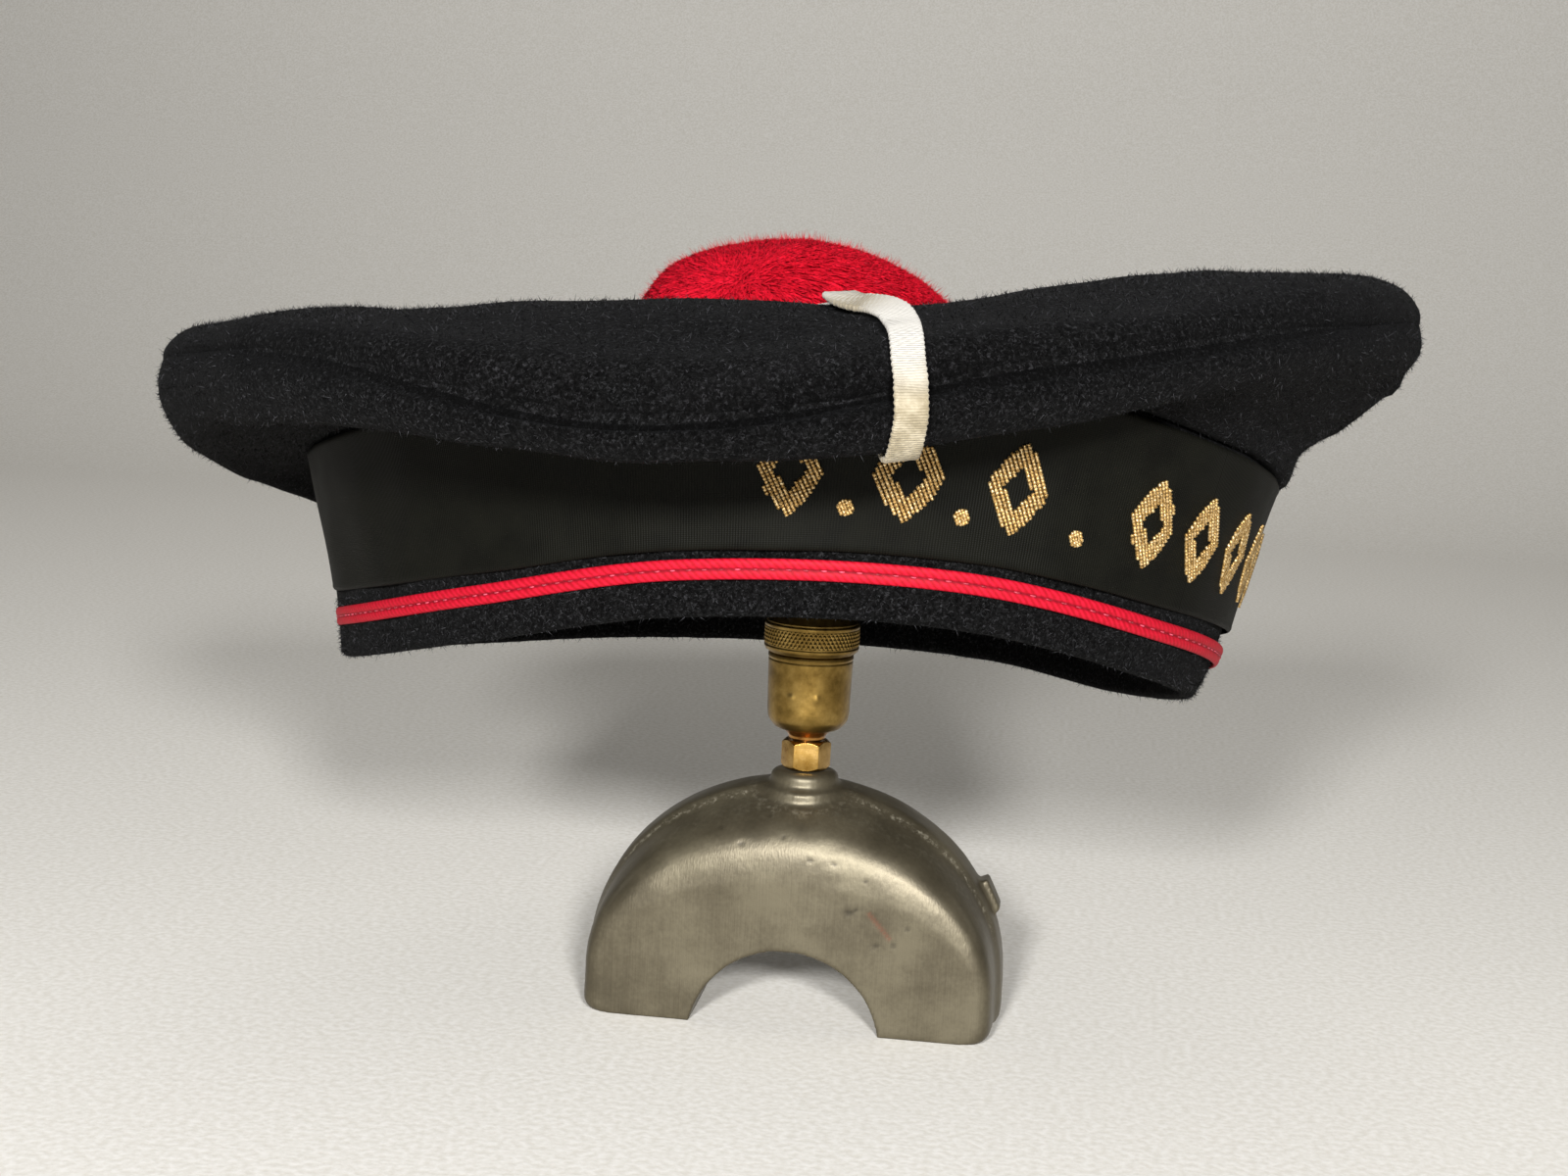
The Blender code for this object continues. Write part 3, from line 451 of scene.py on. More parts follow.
# The cap's sizes, and its rim by the angle from the front. reach is a share of the crown's
# radius, hem of the hem's wave, and seam, low, over and shoulder are shares of the crown's height.
capSizes = dict(bandLength=0.194, bandWidth=0.166, bandHeight=0.044, bandWall=0.003, flare=0.0105, lean=0.0018,
                curve=1.25, hemWave=0.005, crownRadius=0.131, crownHeight=0.063, crownWall=0.002, rimRoll=0.012,
                seatRadius=1.12 * 0.037, gap=0.0003, tuck=0.0014, tuckAngle=16.0, tuckSpread=26.0, curl=0.0034,
                curlHigh=0.0115)
bandSlope = capSizes["flare"] * capSizes["curve"] / capSizes["bandHeight"]
rimColumns = ("angle", "reach", "seam", "low", "over", "shoulder", "turn", "hem")
rimTable = np.array([
    (-180, 0.98, 0.69, 0.46, 0.86, 0.95, 0.0, -0.10),
    (-150, 0.98, 0.85, 0.55, 0.97, 1.02, 0.2, -0.90),
    (-120, 0.98, 0.84, 0.59, 0.95, 1.01, 0.2, -1.00),
    (-90, 1.00, 0.74, 0.55, 0.86, 0.93, 0.0, -0.30),
    (-60, 1.01, 0.54, 0.44, 0.77, 0.942, 0.0, 0.82),
    (-30, 1.01, 0.76, 0.59, 0.90, 0.995, 0.0, 0.86),
    (0, 1.01, 1.00, 0.86, 1.15, 1.18, 0.6, -0.42),
    (30, 1.01, 1.17, 0.92, 1.32, 1.32, 1.0, -1.05),
    (60, 1.00, 1.12, 0.88, 1.27, 1.25, 0.8, -0.90),
    (90, 1.00, 0.90, 0.64, 1.05, 1.09, 0.3, 0.40),
    (120, 0.99, 0.69, 0.48, 0.86, 0.97, 0.0, 0.95),
    (150, 0.98, 0.60, 0.42, 0.79, 0.92, 0.0, 0.80),
])


def smoothBetween(before, start, end, after, share):
    slopeIn, slopeOut = (end - before) / 2, (after - start) / 2
    squared, cubed = share**2, share**3
    return (start * (2 * cubed - 3 * squared + 1) + slopeIn * (cubed - 2 * squared + share)
            + end * (3 * squared - 2 * cubed) + slopeOut * (cubed - squared))


def smoothAlong(table, spots, columns=...):
    # a smooth curve through a table's rows, read at row numbers with a fraction
    last = len(table) - 1
    row = np.clip(np.floor(spots).astype(int), 0, last - 1)
    near = [table[np.clip(row + k, 0, last), columns] for k in (-1, 0, 1, 2)]
    return smoothBetween(*near, np.clip(spots - row, 0.0, 1.0)[..., None])


def rimAt(angles):
    spot = (np.asarray(angles, float) + 180.0) / 30.0
    row = np.floor(spot).astype(int)
    near = [rimTable[(row + k) % len(rimTable)] for k in (-1, 0, 1, 2)]
    values = smoothBetween(*near, (spot - row)[..., None])
    return {name: values[..., n] for n, name in enumerate(rimColumns)}


def angleFrom(angles, centre):
    return (np.asarray(angles, float) - centre + 180.0) % 360.0 - 180.0


def bandRadius(angles, rise):
    turn = np.radians(angles)
    share = np.clip(rise / capSizes["bandHeight"], 0.0, 1.0)
    spread = 2 * capSizes["flare"] * share ** capSizes["curve"]
    oval = 1.0 / np.hypot(np.cos(turn) * 2 / (capSizes["bandLength"] + spread),
                          np.sin(turn) * 2 / (capSizes["bandWidth"] + spread))
    near = bell(angleFrom(angles, capSizes["tuckAngle"]), capSizes["tuckSpread"])
    curl = capSizes["curl"] * np.clip(1 - rise / capSizes["curlHigh"], 0, 1) ** 2
    return oval + capSizes["lean"] * share * np.cos(turn) - near * (capSizes["tuck"] + curl)


def hemHeight(angles):
    return rimAt(angles)["hem"] * capSizes["hemWave"]


def inSpace(radius, height, angles):
    turn = np.radians(angles)
    return np.stack([radius * np.cos(turn), radius * np.sin(turn), height + 0 * radius], -1)


def crownRows(angles):
    # radius and height of the crown's face at its stations: 0 inside the band's edge, 6 the seam, 16 the middle
    row, roll, middle = rimAt(angles), capSizes["rimRoll"], capSizes["crownHeight"]
    seam, low, over, shoulder = (row[name] * middle for name in ("seam", "low", "over", "shoulder"))
    reach, turn, wall = row["reach"] * capSizes["crownRadius"], row["turn"], capSizes["bandWall"]
    edge = bandRadius(angles, capSizes["bandHeight"])
    top = hemHeight(angles) + capSizes["bandHeight"] + capSizes["gap"]
    start, lowRadius = edge + wall / 2, reach - 0.5 * roll
    outer, inner = 0.75 * reach, capSizes["seatRadius"] + 0 * reach
    points = [
        (edge - wall, top + 1.2 * bandSlope * wall),
        (start, top),
        (start + (lowRadius - start) * (0.35 - 0.23 * turn), top + (low - top) * (0.15 + 0.22 * turn)),
        (start + (lowRadius - start) * (0.70 - 0.25 * turn), top + (low - top) * (0.60 + 0.02 * turn)),
        (lowRadius, low),
        (reach - 0.02 * roll, low + 0.5 * (seam - low)),
        (reach - 0.01 * roll, seam - 0.05 * (seam - low)),
        (reach - 0.10 * roll, seam + 0.30 * (over - seam)),
        (reach - 0.40 * roll, seam + 0.72 * (over - seam)),
        (reach - roll, over),
        (reach - 1.8 * roll, over + 0.60 * (shoulder - over)),
        (outer, shoulder),
    ]
    points += [(inner + share * (outer - inner), middle + share * share * (3 - 2 * share) * (shoulder - middle))
               for share in (0.75, 0.50, 0.25)]
    points += [(inner, middle + 0 * reach), (0 * reach, middle + 0 * reach)]
    return np.stack([np.stack(pair, -1) for pair in points])


def plainCrown(angles, stations):
    shape = np.broadcast_shapes(np.shape(stations), angles.shape)
    stations = np.broadcast_to(np.asarray(stations, float), shape)
    rows = crownRows(angles)
    flat = smoothAlong(rows, stations, np.broadcast_to(np.arange(rows.shape[1]), stations.shape))
    return inSpace(flat[..., 0], flat[..., 1], angles)


# The crown's cloth: soft lumps, a puckered seam round the rim and a sunken, uneven patch low at the right.
# The seam is deep where seamFront is, and less so at seamBack: an angle, a spread and a depth. Each of the
# seam's two bands of painted shade has a strength and a width. The rim's length and the pucker's pitch are in
# mm, and a place ending in Station is one on the crown's face.
crownCloth = dict(columns=448, lump=0.00045, lumpSize=0.060, ripple=0.00013, rippleSize=0.020, seamDeep=0.0036,
                  seamWide=0.0080, seamFront=(-48.0, 62.0, 0.97), seamBack=(130.0, 45.0, 0.3), pucker=0.00016,
                  rimLength=820.0, puckerPitch=15.0, puckerReach=0.0075,
                  crease=((0.38, 0.0016), (0.45, 0.0055)), ragged=0.0007, raggedAngle=38.0,
                  raggedSpread=20.0, raggedStation=4.2, raggedSize=0.014, streakAngle=-51.0,
                  streakSpread=7.0, streakStation=7.4, rubbedStation=8.6)


def crownLumps(points, angles, stations):
    # how far the cloth stands off the plain shape
    settle = np.clip(stations / 1.5, 0.0, 1.0) * np.clip((13.5 - stations) / 2.0, 0.15, 1.0)
    lumps = (crownCloth["lump"] * softNoise(points, crownCloth["lumpSize"], 3)
             + crownCloth["ripple"] * softNoise(points, crownCloth["rippleSize"], 4))
    patch = bell(angleFrom(angles, crownCloth["raggedAngle"]), crownCloth["raggedSpread"])
    patch = patch * bell(stations - crownCloth["raggedStation"], 1.6)
    torn = softNoise(points, crownCloth["raggedSize"], 5) * (0.4 + 0.6 * np.abs(softNoise(points, 0.03, 6)))
    return lumps * settle + crownCloth["ragged"] * patch * (torn - 1.6)


def seamFall(base, atStart):
    # the panel's edge turns in round a small radius, with puckers beside the stitches; also the
    # painted shade that darkens the crease along the seam
    lengths, columns = lengthsAlong(base), base.shape[1]
    away, angles = lengths if atStart else lengths[-1] - lengths, angleRow(columns)
    front, frontSpread, frontDeep = crownCloth["seamFront"]
    back, backSpread, backDeep = crownCloth["seamBack"]
    fade = (0.03 + frontDeep * np.exp(-((angleFrom(angles, front) / frontSpread) ** 4))
            + backDeep * bell(angleFrom(angles, back), backSpread))
    fall = crownCloth["seamDeep"] * fade * np.clip(1 - away / crownCloth["seamWide"], 0, 1) ** 2
    turn = np.linspace(0, 2 * math.pi, columns, endpoint=False)
    uneven = 2.2 * np.sin(5 * turn) + 1.3 * np.sin(13 * turn + 1)
    wave = np.cos(crownCloth["rimLength"] / crownCloth["puckerPitch"] * turn + uneven)
    near = np.clip(1 - away / crownCloth["puckerReach"], 0, 1) ** 2
    # painted shade in the seam's crease: a narrow dark band and a broad faint one
    crease = fade * sum(dark * bell(away, wide) for dark, wide in crownCloth["crease"])
    fall = (fall - crownCloth["pucker"] * wave * near * (0.15 + fade)
            + 0.0004 * np.clip(1 - away / 0.0012, 0, 1) ** 2 * fade)
    return -fall, np.clip(crease, 0, 0.95)


def wearAndPaintedHighlight(angles, stations):
    # where the wool is lighter: a painted highlight streak across the front, and the nap rubbed lighter along
    # the rim's upper edge
    side = angleFrom(angles, crownCloth["streakAngle"])
    rubbed = 0.35 * bell(stations - crownCloth["rubbedStation"], 0.9)
    rubbed = rubbed * (0.5 + 0.5 * np.cos(np.radians(angles * 3)))
    # the painted highlight streak, lying along the top panel's roll above the seam
    slanted = bell(stations - crownCloth["streakStation"] - 0.05 * side, 0.35)
    return np.clip(bell(side, crownCloth["streakSpread"]) * slanted + rubbed, 0, 1)


def makeCrown():
    columns, wall, tall = crownCloth["columns"], capSizes["crownWall"], capSizes["crownHeight"]
    angles = angleRow(columns)
    close = np.array([0.0, 0.04, 0.09, 0.15, 0.22, 0.31, 0.42, 0.55, 0.72])
    under = np.concatenate([np.linspace(0, 5.0, 24), 6 - close[:0:-1], [5.9985]])
    top = np.concatenate([[6.0015], 6 + close[1:], np.linspace(6.95, 12, 24), np.linspace(12.4, 15.9, 8)])
    skins = []
    for name, node, rows in (("crownUnder", "crown_under", under), ("crownTop", "crown_top", top)):
        stations = rows[:, None]
        base = plainCrown(angles, stations)
        normals = gridNormals(base)
        normals[np.linalg.norm(base[..., :2], axis=-1) < 0.004] = (0.0, 0.0, 1.0)
        lumps = crownLumps(base, angles, stations)
        fall, crease = seamFall(base, name == "crownTop")
        outer = base + normals * (lumps + fall)[..., None]
        inner = base + normals * (np.minimum(lumps, 0.0) - wall)[..., None]
        # the marks: worn nap with a painted highlight streak, and the painted shade along the seam
        marks = {"brushed": wearAndPaintedHighlight(angles, np.broadcast_to(stations, base.shape[:2])), "crease": crease}
        skins.append((outer, normals, 1.0 - crease))
        if name == "crownUnder":
            ringPiece(name, np.concatenate([outer, inner[::-1]]), fulledWool, [node],
                      {key: np.concatenate([values, values[::-1]]) for key, values in marks.items()})
            continue
        quads = ringFaces(len(outer), columns)[0]
        count, rim = len(outer) * columns, np.arange(columns)
        after = np.roll(rim, -1)
        fans = np.concatenate([fan(count - columns, columns, 2 * count),
                               fan(2 * count - columns, columns, 2 * count + 1, True)])
        middles = [(0, 0, tall), (0, 0, tall - wall)]
        points = np.concatenate([outer.reshape(-1, 3), inner.reshape(-1, 3), middles])
        mesh = buildMesh(name, points, [fans, quads, quads[:, ::-1] + count,
                                        np.stack([rim + count, after + count, after, rim], -1)])
        paintMesh(mesh, {key: np.concatenate([values.ravel(), values.ravel() * 0, [0, 0]])
                         for key, values in marks.items()})
        addPiece(name, mesh, fulledWool, [node])
    skins[1][2][:] *= np.where(stations < 11.0, 2.0, 0.3) * np.where(stations > 8.0, 2.6, 1.0)
    return skins


crownSkins = makeCrown()
print("crown made")

# The nap: loose hairs that stand off the cloth and show along every outline
napSizes = dict(crown=46000, band=9000, long=0.0018, short=0.0006, width=0.00007)


def raiseNap(name, grids, count):
    # each grid has its points, their normals and how thick the hair stands there
    roots, aims = [], []
    for outer, normals, weights in grids:
        spans = np.linalg.norm(np.roll(outer, -1, axis=1) - outer, axis=-1)
        drops = np.linalg.norm(np.gradient(outer, axis=0), axis=-1)
        share = (spans * drops * weights)[:-1].ravel()
        picked = dice.choice(share.size, size=count // len(grids), p=share / share.sum())
        row, column = np.divmod(picked, outer.shape[1])
        along, up = dice.random(len(picked))[:, None], dice.random(len(picked))[:, None]
        after = (column + 1) % outer.shape[1]
        lower = outer[row, column] * (1 - along) + outer[row, after] * along
        upper = outer[row + 1, column] * (1 - along) + outer[row + 1, after] * along
        roots.append(lower * (1 - up) + upper * up)
        aims.append(normals[row, column])
    roots, aims = np.concatenate(roots), np.concatenate(aims)
    lie = dice.normal(size=roots.shape)
    lie = unit(lie - aims * (lie * aims).sum(-1, keepdims=True))
    stand = dice.uniform(0.25, 1.0, (len(roots), 1)) ** 1.3
    length = napSizes["short"] + (napSizes["long"] - napSizes["short"]) * dice.random((len(roots), 1)) ** 3
    aim = unit(aims * stand + lie * dice.uniform(0.3, 1.0, (len(roots), 1)))
    mesh = spikes(name, roots - aims * 0.00005, roots + aim * length, napSizes["width"])
    paintMesh(mesh, {"tone": np.repeat(dice.random(len(roots)), 4)})
    addPiece(name, mesh, raisedWoolHair)


raiseNap("crownNap", crownSkins, napSizes["crown"])

# The head band: a double cloth band with a soft turned hem, waved where the cap has been worn
bandCloth = dict(columns=420, hemRound=0.0015, ripple=0.00025, rippleSize=0.03, ridge=0.00035, ridgeRise=0.0052,
                 ridgeAngle=-25.0, ridgeReach=40.0)


def bandFace(angles, rise, out=0.0):
    # a point on the band's outer face, out metres off it
    return inSpace(bandRadius(angles, rise) + out, hemHeight(angles) + rise - out * bandSlope, angles)


def makeBand():
    angles = angleRow(bandCloth["columns"])
    wall, tall, small = capSizes["bandWall"], capSizes["bandHeight"], bandCloth["hemRound"]
    rises = np.concatenate([np.linspace(small, 0.011, 14), np.linspace(0.0125, tall - 0.0006, 10)])
    outer, hem = [], []
    for rise in rises:
        lump = bandCloth["ripple"] * softNoise(bandFace(angles, rise), bandCloth["rippleSize"], 8)
        ridge = bandCloth["ridge"] * bell(rise - bandCloth["ridgeRise"], 0.0007)
        ends = np.clip(1 - np.abs(angleFrom(angles, bandCloth["ridgeAngle"])) / bandCloth["ridgeReach"], 0, 1)
        outer.append(bandFace(angles, rise, lump + ridge * ends))
    fuzz = 0.00012 * softNoise(bandFace(angles, 0.0), 0.006, 9)
    for turn in np.radians(np.linspace(180, 360, 9)[1:-1]):  # from the inner face round the turned edge
        hem.append(bandFace(angles, small + small * math.sin(turn), wall / 2 * (math.cos(turn) - 1) + fuzz))
    lip = [bandFace(angles, tall, -0.0008), bandFace(angles, tall, -wall + 0.0008)]
    inner = [bandFace(angles, rise, -wall) for rise in rises[::-2]]
    ringPiece("headBand", np.stack(hem + outer + lip + inner), fulledWool, ["headband"])
    shown = np.stack(hem[3:] + outer[:15])
    raiseNap("bandNap", [(shown, gridNormals(shown), 1.0)], napSizes["band"])


makeBand()
print("head band made")

# The ribbon: low is its lower edge in front of the camera, and dip is how much higher that
# edge runs away from there
ribbonSizes = dict(columns=640, low=0.0122, dip=0.0023, dipAngle=-50.0, high=0.0434, thick=0.0006, wave=0.00016,
                   gap=0.0004)


def ribbonFace(angles, height, out=0.0):
    # height is metres above the ribbon's lower edge on its way to the upper edge
    dip = np.minimum(1 - np.cos(np.radians(angleFrom(angles, ribbonSizes["dipAngle"]))), 1.0)
    low = ribbonSizes["low"] + ribbonSizes["dip"] * dip
    share = height / (ribbonSizes["high"] - ribbonSizes["low"])
    rise = low + share * (ribbonSizes["high"] - low)
    wave = ribbonSizes["wave"] * softNoise(bandFace(angles, rise), 0.024, 12)
    return bandFace(angles, rise, ribbonSizes["gap"] + ribbonSizes["thick"] + wave + out)


def makeRibbon():
    angles = angleRow(ribbonSizes["columns"])
    tall, thick = ribbonSizes["high"] - ribbonSizes["low"], ribbonSizes["thick"]
    heights = [0.0, 0.0003, 0.0008, *np.linspace(0.0016, tall - 0.0016, 9), tall - 0.0008, tall - 0.0003, tall]
    falls = [-thick / 2, -0.0001, 0.00008, *[0.0] * 9, 0.00008, -0.0001, -thick / 2]
    rows = [ribbonFace(angles, h, f) for h, f in zip(heights, falls)]
    rows += [ribbonFace(angles, h, -thick + 0.00008) for h in heights[::-2]]
    ringPiece("capRibbon", np.stack(rows), silkRepRibbon, ["cap_ribbon"])


makeRibbon()

# Woven gilt figures on the ribbon: plain stepped lozenges with a lozenge hole, and round dots.
# A lozenge has its middle's angle and its width in mm.
figureSizes = dict(base=0.0056, tall=0.0168, step=0.0004, pitch=0.00086, lean=62.0, thread=0.00040, dot=0.0032,
                   dotRise=0.0022, bead=0.00062, fine=0.0001)
lozenges = ((-48.4, 12.0), (-36.4, 12.6), (-25.0, 11.6), (-8.4, 12.0), (0.4, 11.4), (9.2, 11.4), (17.8, 10.6),
            (26.0, 10.6), (43.8, 11.6), (55.2, 12.6), (67.2, 12.0))
dots = (-42.4, -30.4, -17.6, 36.4, 49.2, 61.4)


def lozengeInside(u, v, width, tall):
    # u and v in metres from the middle; the outline goes in steps as a woven one does
    across, up = (np.floor(np.abs(w) / figureSizes["step"] + 0.5) * figureSizes["step"] for w in (u, v))
    outline = (across / (width / 2)) ** 1.25 + (up / (tall / 2)) ** 1.25 < 1.0
    return outline & (across / (width * 0.22) + up / (tall * 0.21) >= 1.0)


def dotInside(u, v, width, tall):
    return np.hypot(u, v) < width / 2


def makeFigures():
    points, faceSets, used = [], [], 0
    base, tallest, dot, fine = (figureSizes[key] for key in ("base", "tall", "dot", "fine"))
    lean = math.radians(figureSizes["lean"])
    jobs = [(angle, width / 1000, tallest, base + tallest / 2, lozengeInside, figureSizes["pitch"], 12)
            for angle, width in lozenges]
    jobs += [(angle, dot, dot, base + figureSizes["dotRise"], dotInside, figureSizes["pitch"] * 0.7, 6)
             for angle in dots]
    for angle, width, tall, middle, inside, pitch, shortest in jobs:
        perDegree = float(bandRadius(np.array(angle), 0.026)) * math.pi / 180
        reach = int(0.5 * (width + tall / math.tan(lean)) / pitch)
        for n in range(-reach - 2, reach + 3):
            t = np.arange(-tall, tall, fine)
            keep = inside(n * pitch - t * math.cos(lean), t * math.sin(lean), width, tall).astype(int)
            edges = np.flatnonzero(np.diff(np.concatenate(([0], keep, [0]))))
            for first, last in zip(edges[::2], edges[1::2]):
                if last - first < shortest:
                    continue
                place = np.linspace(t[first], t[last - 1], max(5, int((last - first) * fine / 0.00021)))
                beat = 0.5 + 0.5 * np.cos(2 * math.pi * (place / figureSizes["bead"] + 0.5 * n))
                path = ribbonFace(angle + (n * pitch - place * math.cos(lean)) / perDegree,
                                  middle + place * math.sin(lean), 0.00002 + 0.00020 * beat)
                radii = figureSizes["thread"] * (0.78 + 0.32 * beat)
                spots, faces = strandTubes(path[None], radii[None], 5, unit(path * (1.0, 1.0, 0.0))[None])
                points.append(spots)
                faceSets += [f + used for f in faces]
                used += len(spots)
    mesh = buildMesh("giltFigures", np.concatenate(points), faceSets)
    addPiece("giltFigures", mesh, giltThread)


makeFigures()
print("ribbon and its figures made")

# The braid: two plaited cords side by side with a stitched groove between them. The outline's
# rows are shares of its thickness and width, and the last size is how strong the painted shade in the groove
# is.
braidSizes = dict(columns=1500, around=0.093, rise=0.0070, width=0.0037, thick=0.0008, gap=0.0002,
                  thread=0.0009, relief=0.000015, stitch=0.0012, stitchPitch=0.0031, stitchRadius=0.00015,
                  groove=0.85)
braidOutline = ((0.0, 0.02), (0.45, 0.0), (0.78, 0.06), (0.97, 0.16), (1.0, 0.27), (0.93, 0.38), (0.78, 0.455),
                (0.66, 0.50), (0.78, 0.545), (0.93, 0.62), (1.0, 0.73), (0.97, 0.84), (0.78, 0.94), (0.45, 1.0),
                (0.0, 0.98))


def makeBraid():
    size, angles = braidSizes, angleRow(braidSizes["columns"])
    threads, rows = np.radians(angles) * size["around"] / size["thread"], []
    for out, up in braidOutline:
        shift = (up - 0.27 if up < 0.5 else 0.73 - up) * 2.2
        plait = np.cos(2 * math.pi * (threads + shift)) * (out > 0.3)
        rows.append(bandFace(angles, size["rise"] + up * size["width"],
                             size["gap"] + out * size["thick"] + plait * size["relief"]))
    # painted shade down the middle of the section, in the groove
    sunk = bell(np.array(braidOutline)[:, 1:] - 0.5, 0.06) * np.ones(len(angles))
    ringPiece("redSoutache", np.stack(rows), rayonSoutache, ["red_piping"],
              {"groove": sunk * size["groove"]})
    count = int(2 * math.pi * size["around"] / size["stitchPitch"])
    span = np.linspace(-0.5, 0.5, 7) * size["stitch"] / size["around"] * 180 / math.pi
    dive = 0.0003 + size["thick"] * (0.80 - 0.55 * np.abs(np.linspace(-1, 1, 7)) ** 4)
    places = (angleRow(count)[:, None] + span).ravel()
    paths = bandFace(places, size["rise"] + size["width"] / 2, np.tile(dive, count))
    radii = np.tile(np.array([0, 0.8, 1, 1, 1, 0.8, 0]) * size["stitchRadius"], (count, 1))
    mesh = buildMesh("braidStitches", *strandTubes(paths.reshape(count, 7, 3), radii, 6))
    addPiece("braidStitches", mesh, redSewingThread)


makeBraid()
print("braid made")

# The pompom: a flattened tuft of combed yarn, parted at a hollow low on the near left side.
# The hollow and the bulge are given by their angle and their rise in degrees, and Tight is how
# narrow they are. lumps has a height and a size for each noise, as shares of the pompom.
pomSizes = dict(radius=0.0368, tall=0.0252, seat=0.0633, shift=(0.0037, 0.0031), power=2.35,
                hollow=(-82.0, 24.0), hollowDepth=0.0040, hollowTight=22.0, bulge=(-140.0, 34.0),
                bulgeHeight=0.055, bulgeTight=9.0, lumps=((0.012, 1.3), (0.004, 0.4)), fallAngle=40.0,
                fall=0.25, core=0.972, strands=13000, strandRadius=0.00015, fuzz=10000, fuzzWidth=0.00006)


def aimAt(turn, rise):
    turn, rise = math.radians(turn), math.radians(rise)
    return np.array((math.cos(rise) * math.cos(turn), math.cos(rise) * math.sin(turn), math.sin(rise)))


def pomSurface(aims):
    # where a direction from the pompom's foot meets its surface
    wide, tall, power = pomSizes["radius"], pomSizes["tall"], pomSizes["power"]
    flat, up = np.hypot(aims[..., 0], aims[..., 1]) / wide, np.abs(aims[..., 2]) / tall
    reach = (flat**power + up**power) ** (-1 / power)
    near = np.exp((aims @ aimAt(*pomSizes["hollow"]) - 1.0) * pomSizes["hollowTight"])
    bulge = np.exp((aims @ aimAt(*pomSizes["bulge"]) - 1.0) * pomSizes["bulgeTight"])
    lumps = 1.0
    for seed, (height, size) in enumerate(pomSizes["lumps"], 21):
        lumps = lumps + height * softNoise(aims, size, seed)
    lumps = lumps + pomSizes["bulgeHeight"] * bulge
    face = aims * (reach * lumps - pomSizes["hollowDepth"] * near)[..., None]
    lower = math.radians(pomSizes["fallAngle"])
    side = (face[..., 0] * math.cos(lower) + face[..., 1] * math.sin(lower)) / wide
    face[..., 2] *= 1.0 - pomSizes["fall"] * np.clip(side, 0.0, 1.0)
    return face


def looseAims(many, power, share, least):
    # directions drawn over the upper half, from just above the foot
    height = dice.random(many) ** power * share + least
    angle = dice.uniform(0, 2 * math.pi, many)
    flat = np.sqrt(1 - height**2)
    return np.stack([flat * np.cos(angle), flat * np.sin(angle), height], -1)


def makePompom():
    matrix = capMatrix @ Matrix.Translation(Vector((*pomSizes["shift"], pomSizes["seat"])))
    rows, columns = 43, 160
    rise = np.linspace(0.0, math.pi / 2, rows + 1)[:-1][:, None]
    turn = np.arange(columns)[None] * 2 * math.pi / columns
    aims = np.stack([np.cos(rise) * np.cos(turn), np.cos(rise) * np.sin(turn), np.sin(rise) + 0 * turn], -1)
    skin = pomSurface(aims) * pomSizes["core"] * (1 + 0.008 * softNoise(aims, 0.12, 23)[..., None])
    top = rows * columns
    fans = np.concatenate([fan(top - columns, columns, top), fan(0, columns, top + 1, True)])
    crest = pomSurface(np.array([[0.0, 0.0, 1.0]])) * pomSizes["core"]
    points = np.concatenate([skin.reshape(-1, 3), crest, [(0, 0, 0)]])
    mesh = buildMesh("pompomCore", points, [fans, ringFaces(rows, columns)[0]])
    addPiece("pompomCore", mesh, combedWorsted, ["pompom"], matrix)

    # strands that run over the surface away from the hollow
    many = pomSizes["strands"]
    aims = looseAims(many, 0.9, 0.97, 0.02)
    pit = aimAt(*pomSizes["hollow"])
    away = unit(aims - pit * (aims @ pit)[:, None] + dice.normal(scale=0.09, size=aims.shape))
    comb = unit(away + 0.35 * unit(aims * (1.0, 1.0, 0.35)))
    length = dice.uniform(0.10, 0.32, many)[:, None]
    paths = []
    for share in np.linspace(0, 1, 4):
        spot = unit(aims + comb * length * (share - 0.4))
        spot[:, 2] = np.maximum(spot[:, 2], 0.015)
        lift = -0.0004 + 0.0010 * share**1.6 * dice.uniform(0.4, 1.0, many)
        paths.append(pomSurface(unit(spot)) + unit(spot * (1.0, 1.0, 1.6)) * lift[:, None])
    paths = np.stack(paths, 1)
    paths = paths + dice.normal(scale=0.00008, size=paths.shape)
    paths[..., 2] = np.maximum(paths[..., 2], 0.0004)
    radii = np.array([[0, 1.0, 0.8, 0]]) * pomSizes["strandRadius"] * dice.uniform(0.7, 1.1, (many, 1))
    mesh = buildMesh("pompomStrands", *strandTubes(paths, radii, 3))
    addPiece("pompomStrands", mesh, combedWorsted, matrix=matrix)

    # loose ends that blur the outline
    many = pomSizes["fuzz"]
    aims = looseAims(many, 1, 0.98, 0.01)
    roots = pomSurface(aims)
    lean = unit(aims * (1.0, 1.0, 1.4) + dice.normal(scale=0.55, size=aims.shape))
    tips = roots + lean * (0.0008 + 0.0022 * dice.random((many, 1)) ** 3)
    tips[:, 2] = np.maximum(tips[:, 2], 0.0008)
    mesh = spikes("pompomFuzz", roots - aims * 0.0002, tips, pomSizes["fuzzWidth"])
    addPiece("pompomFuzz", mesh, combedWorsted, matrix=matrix)


makePompom()
print("pompom made")
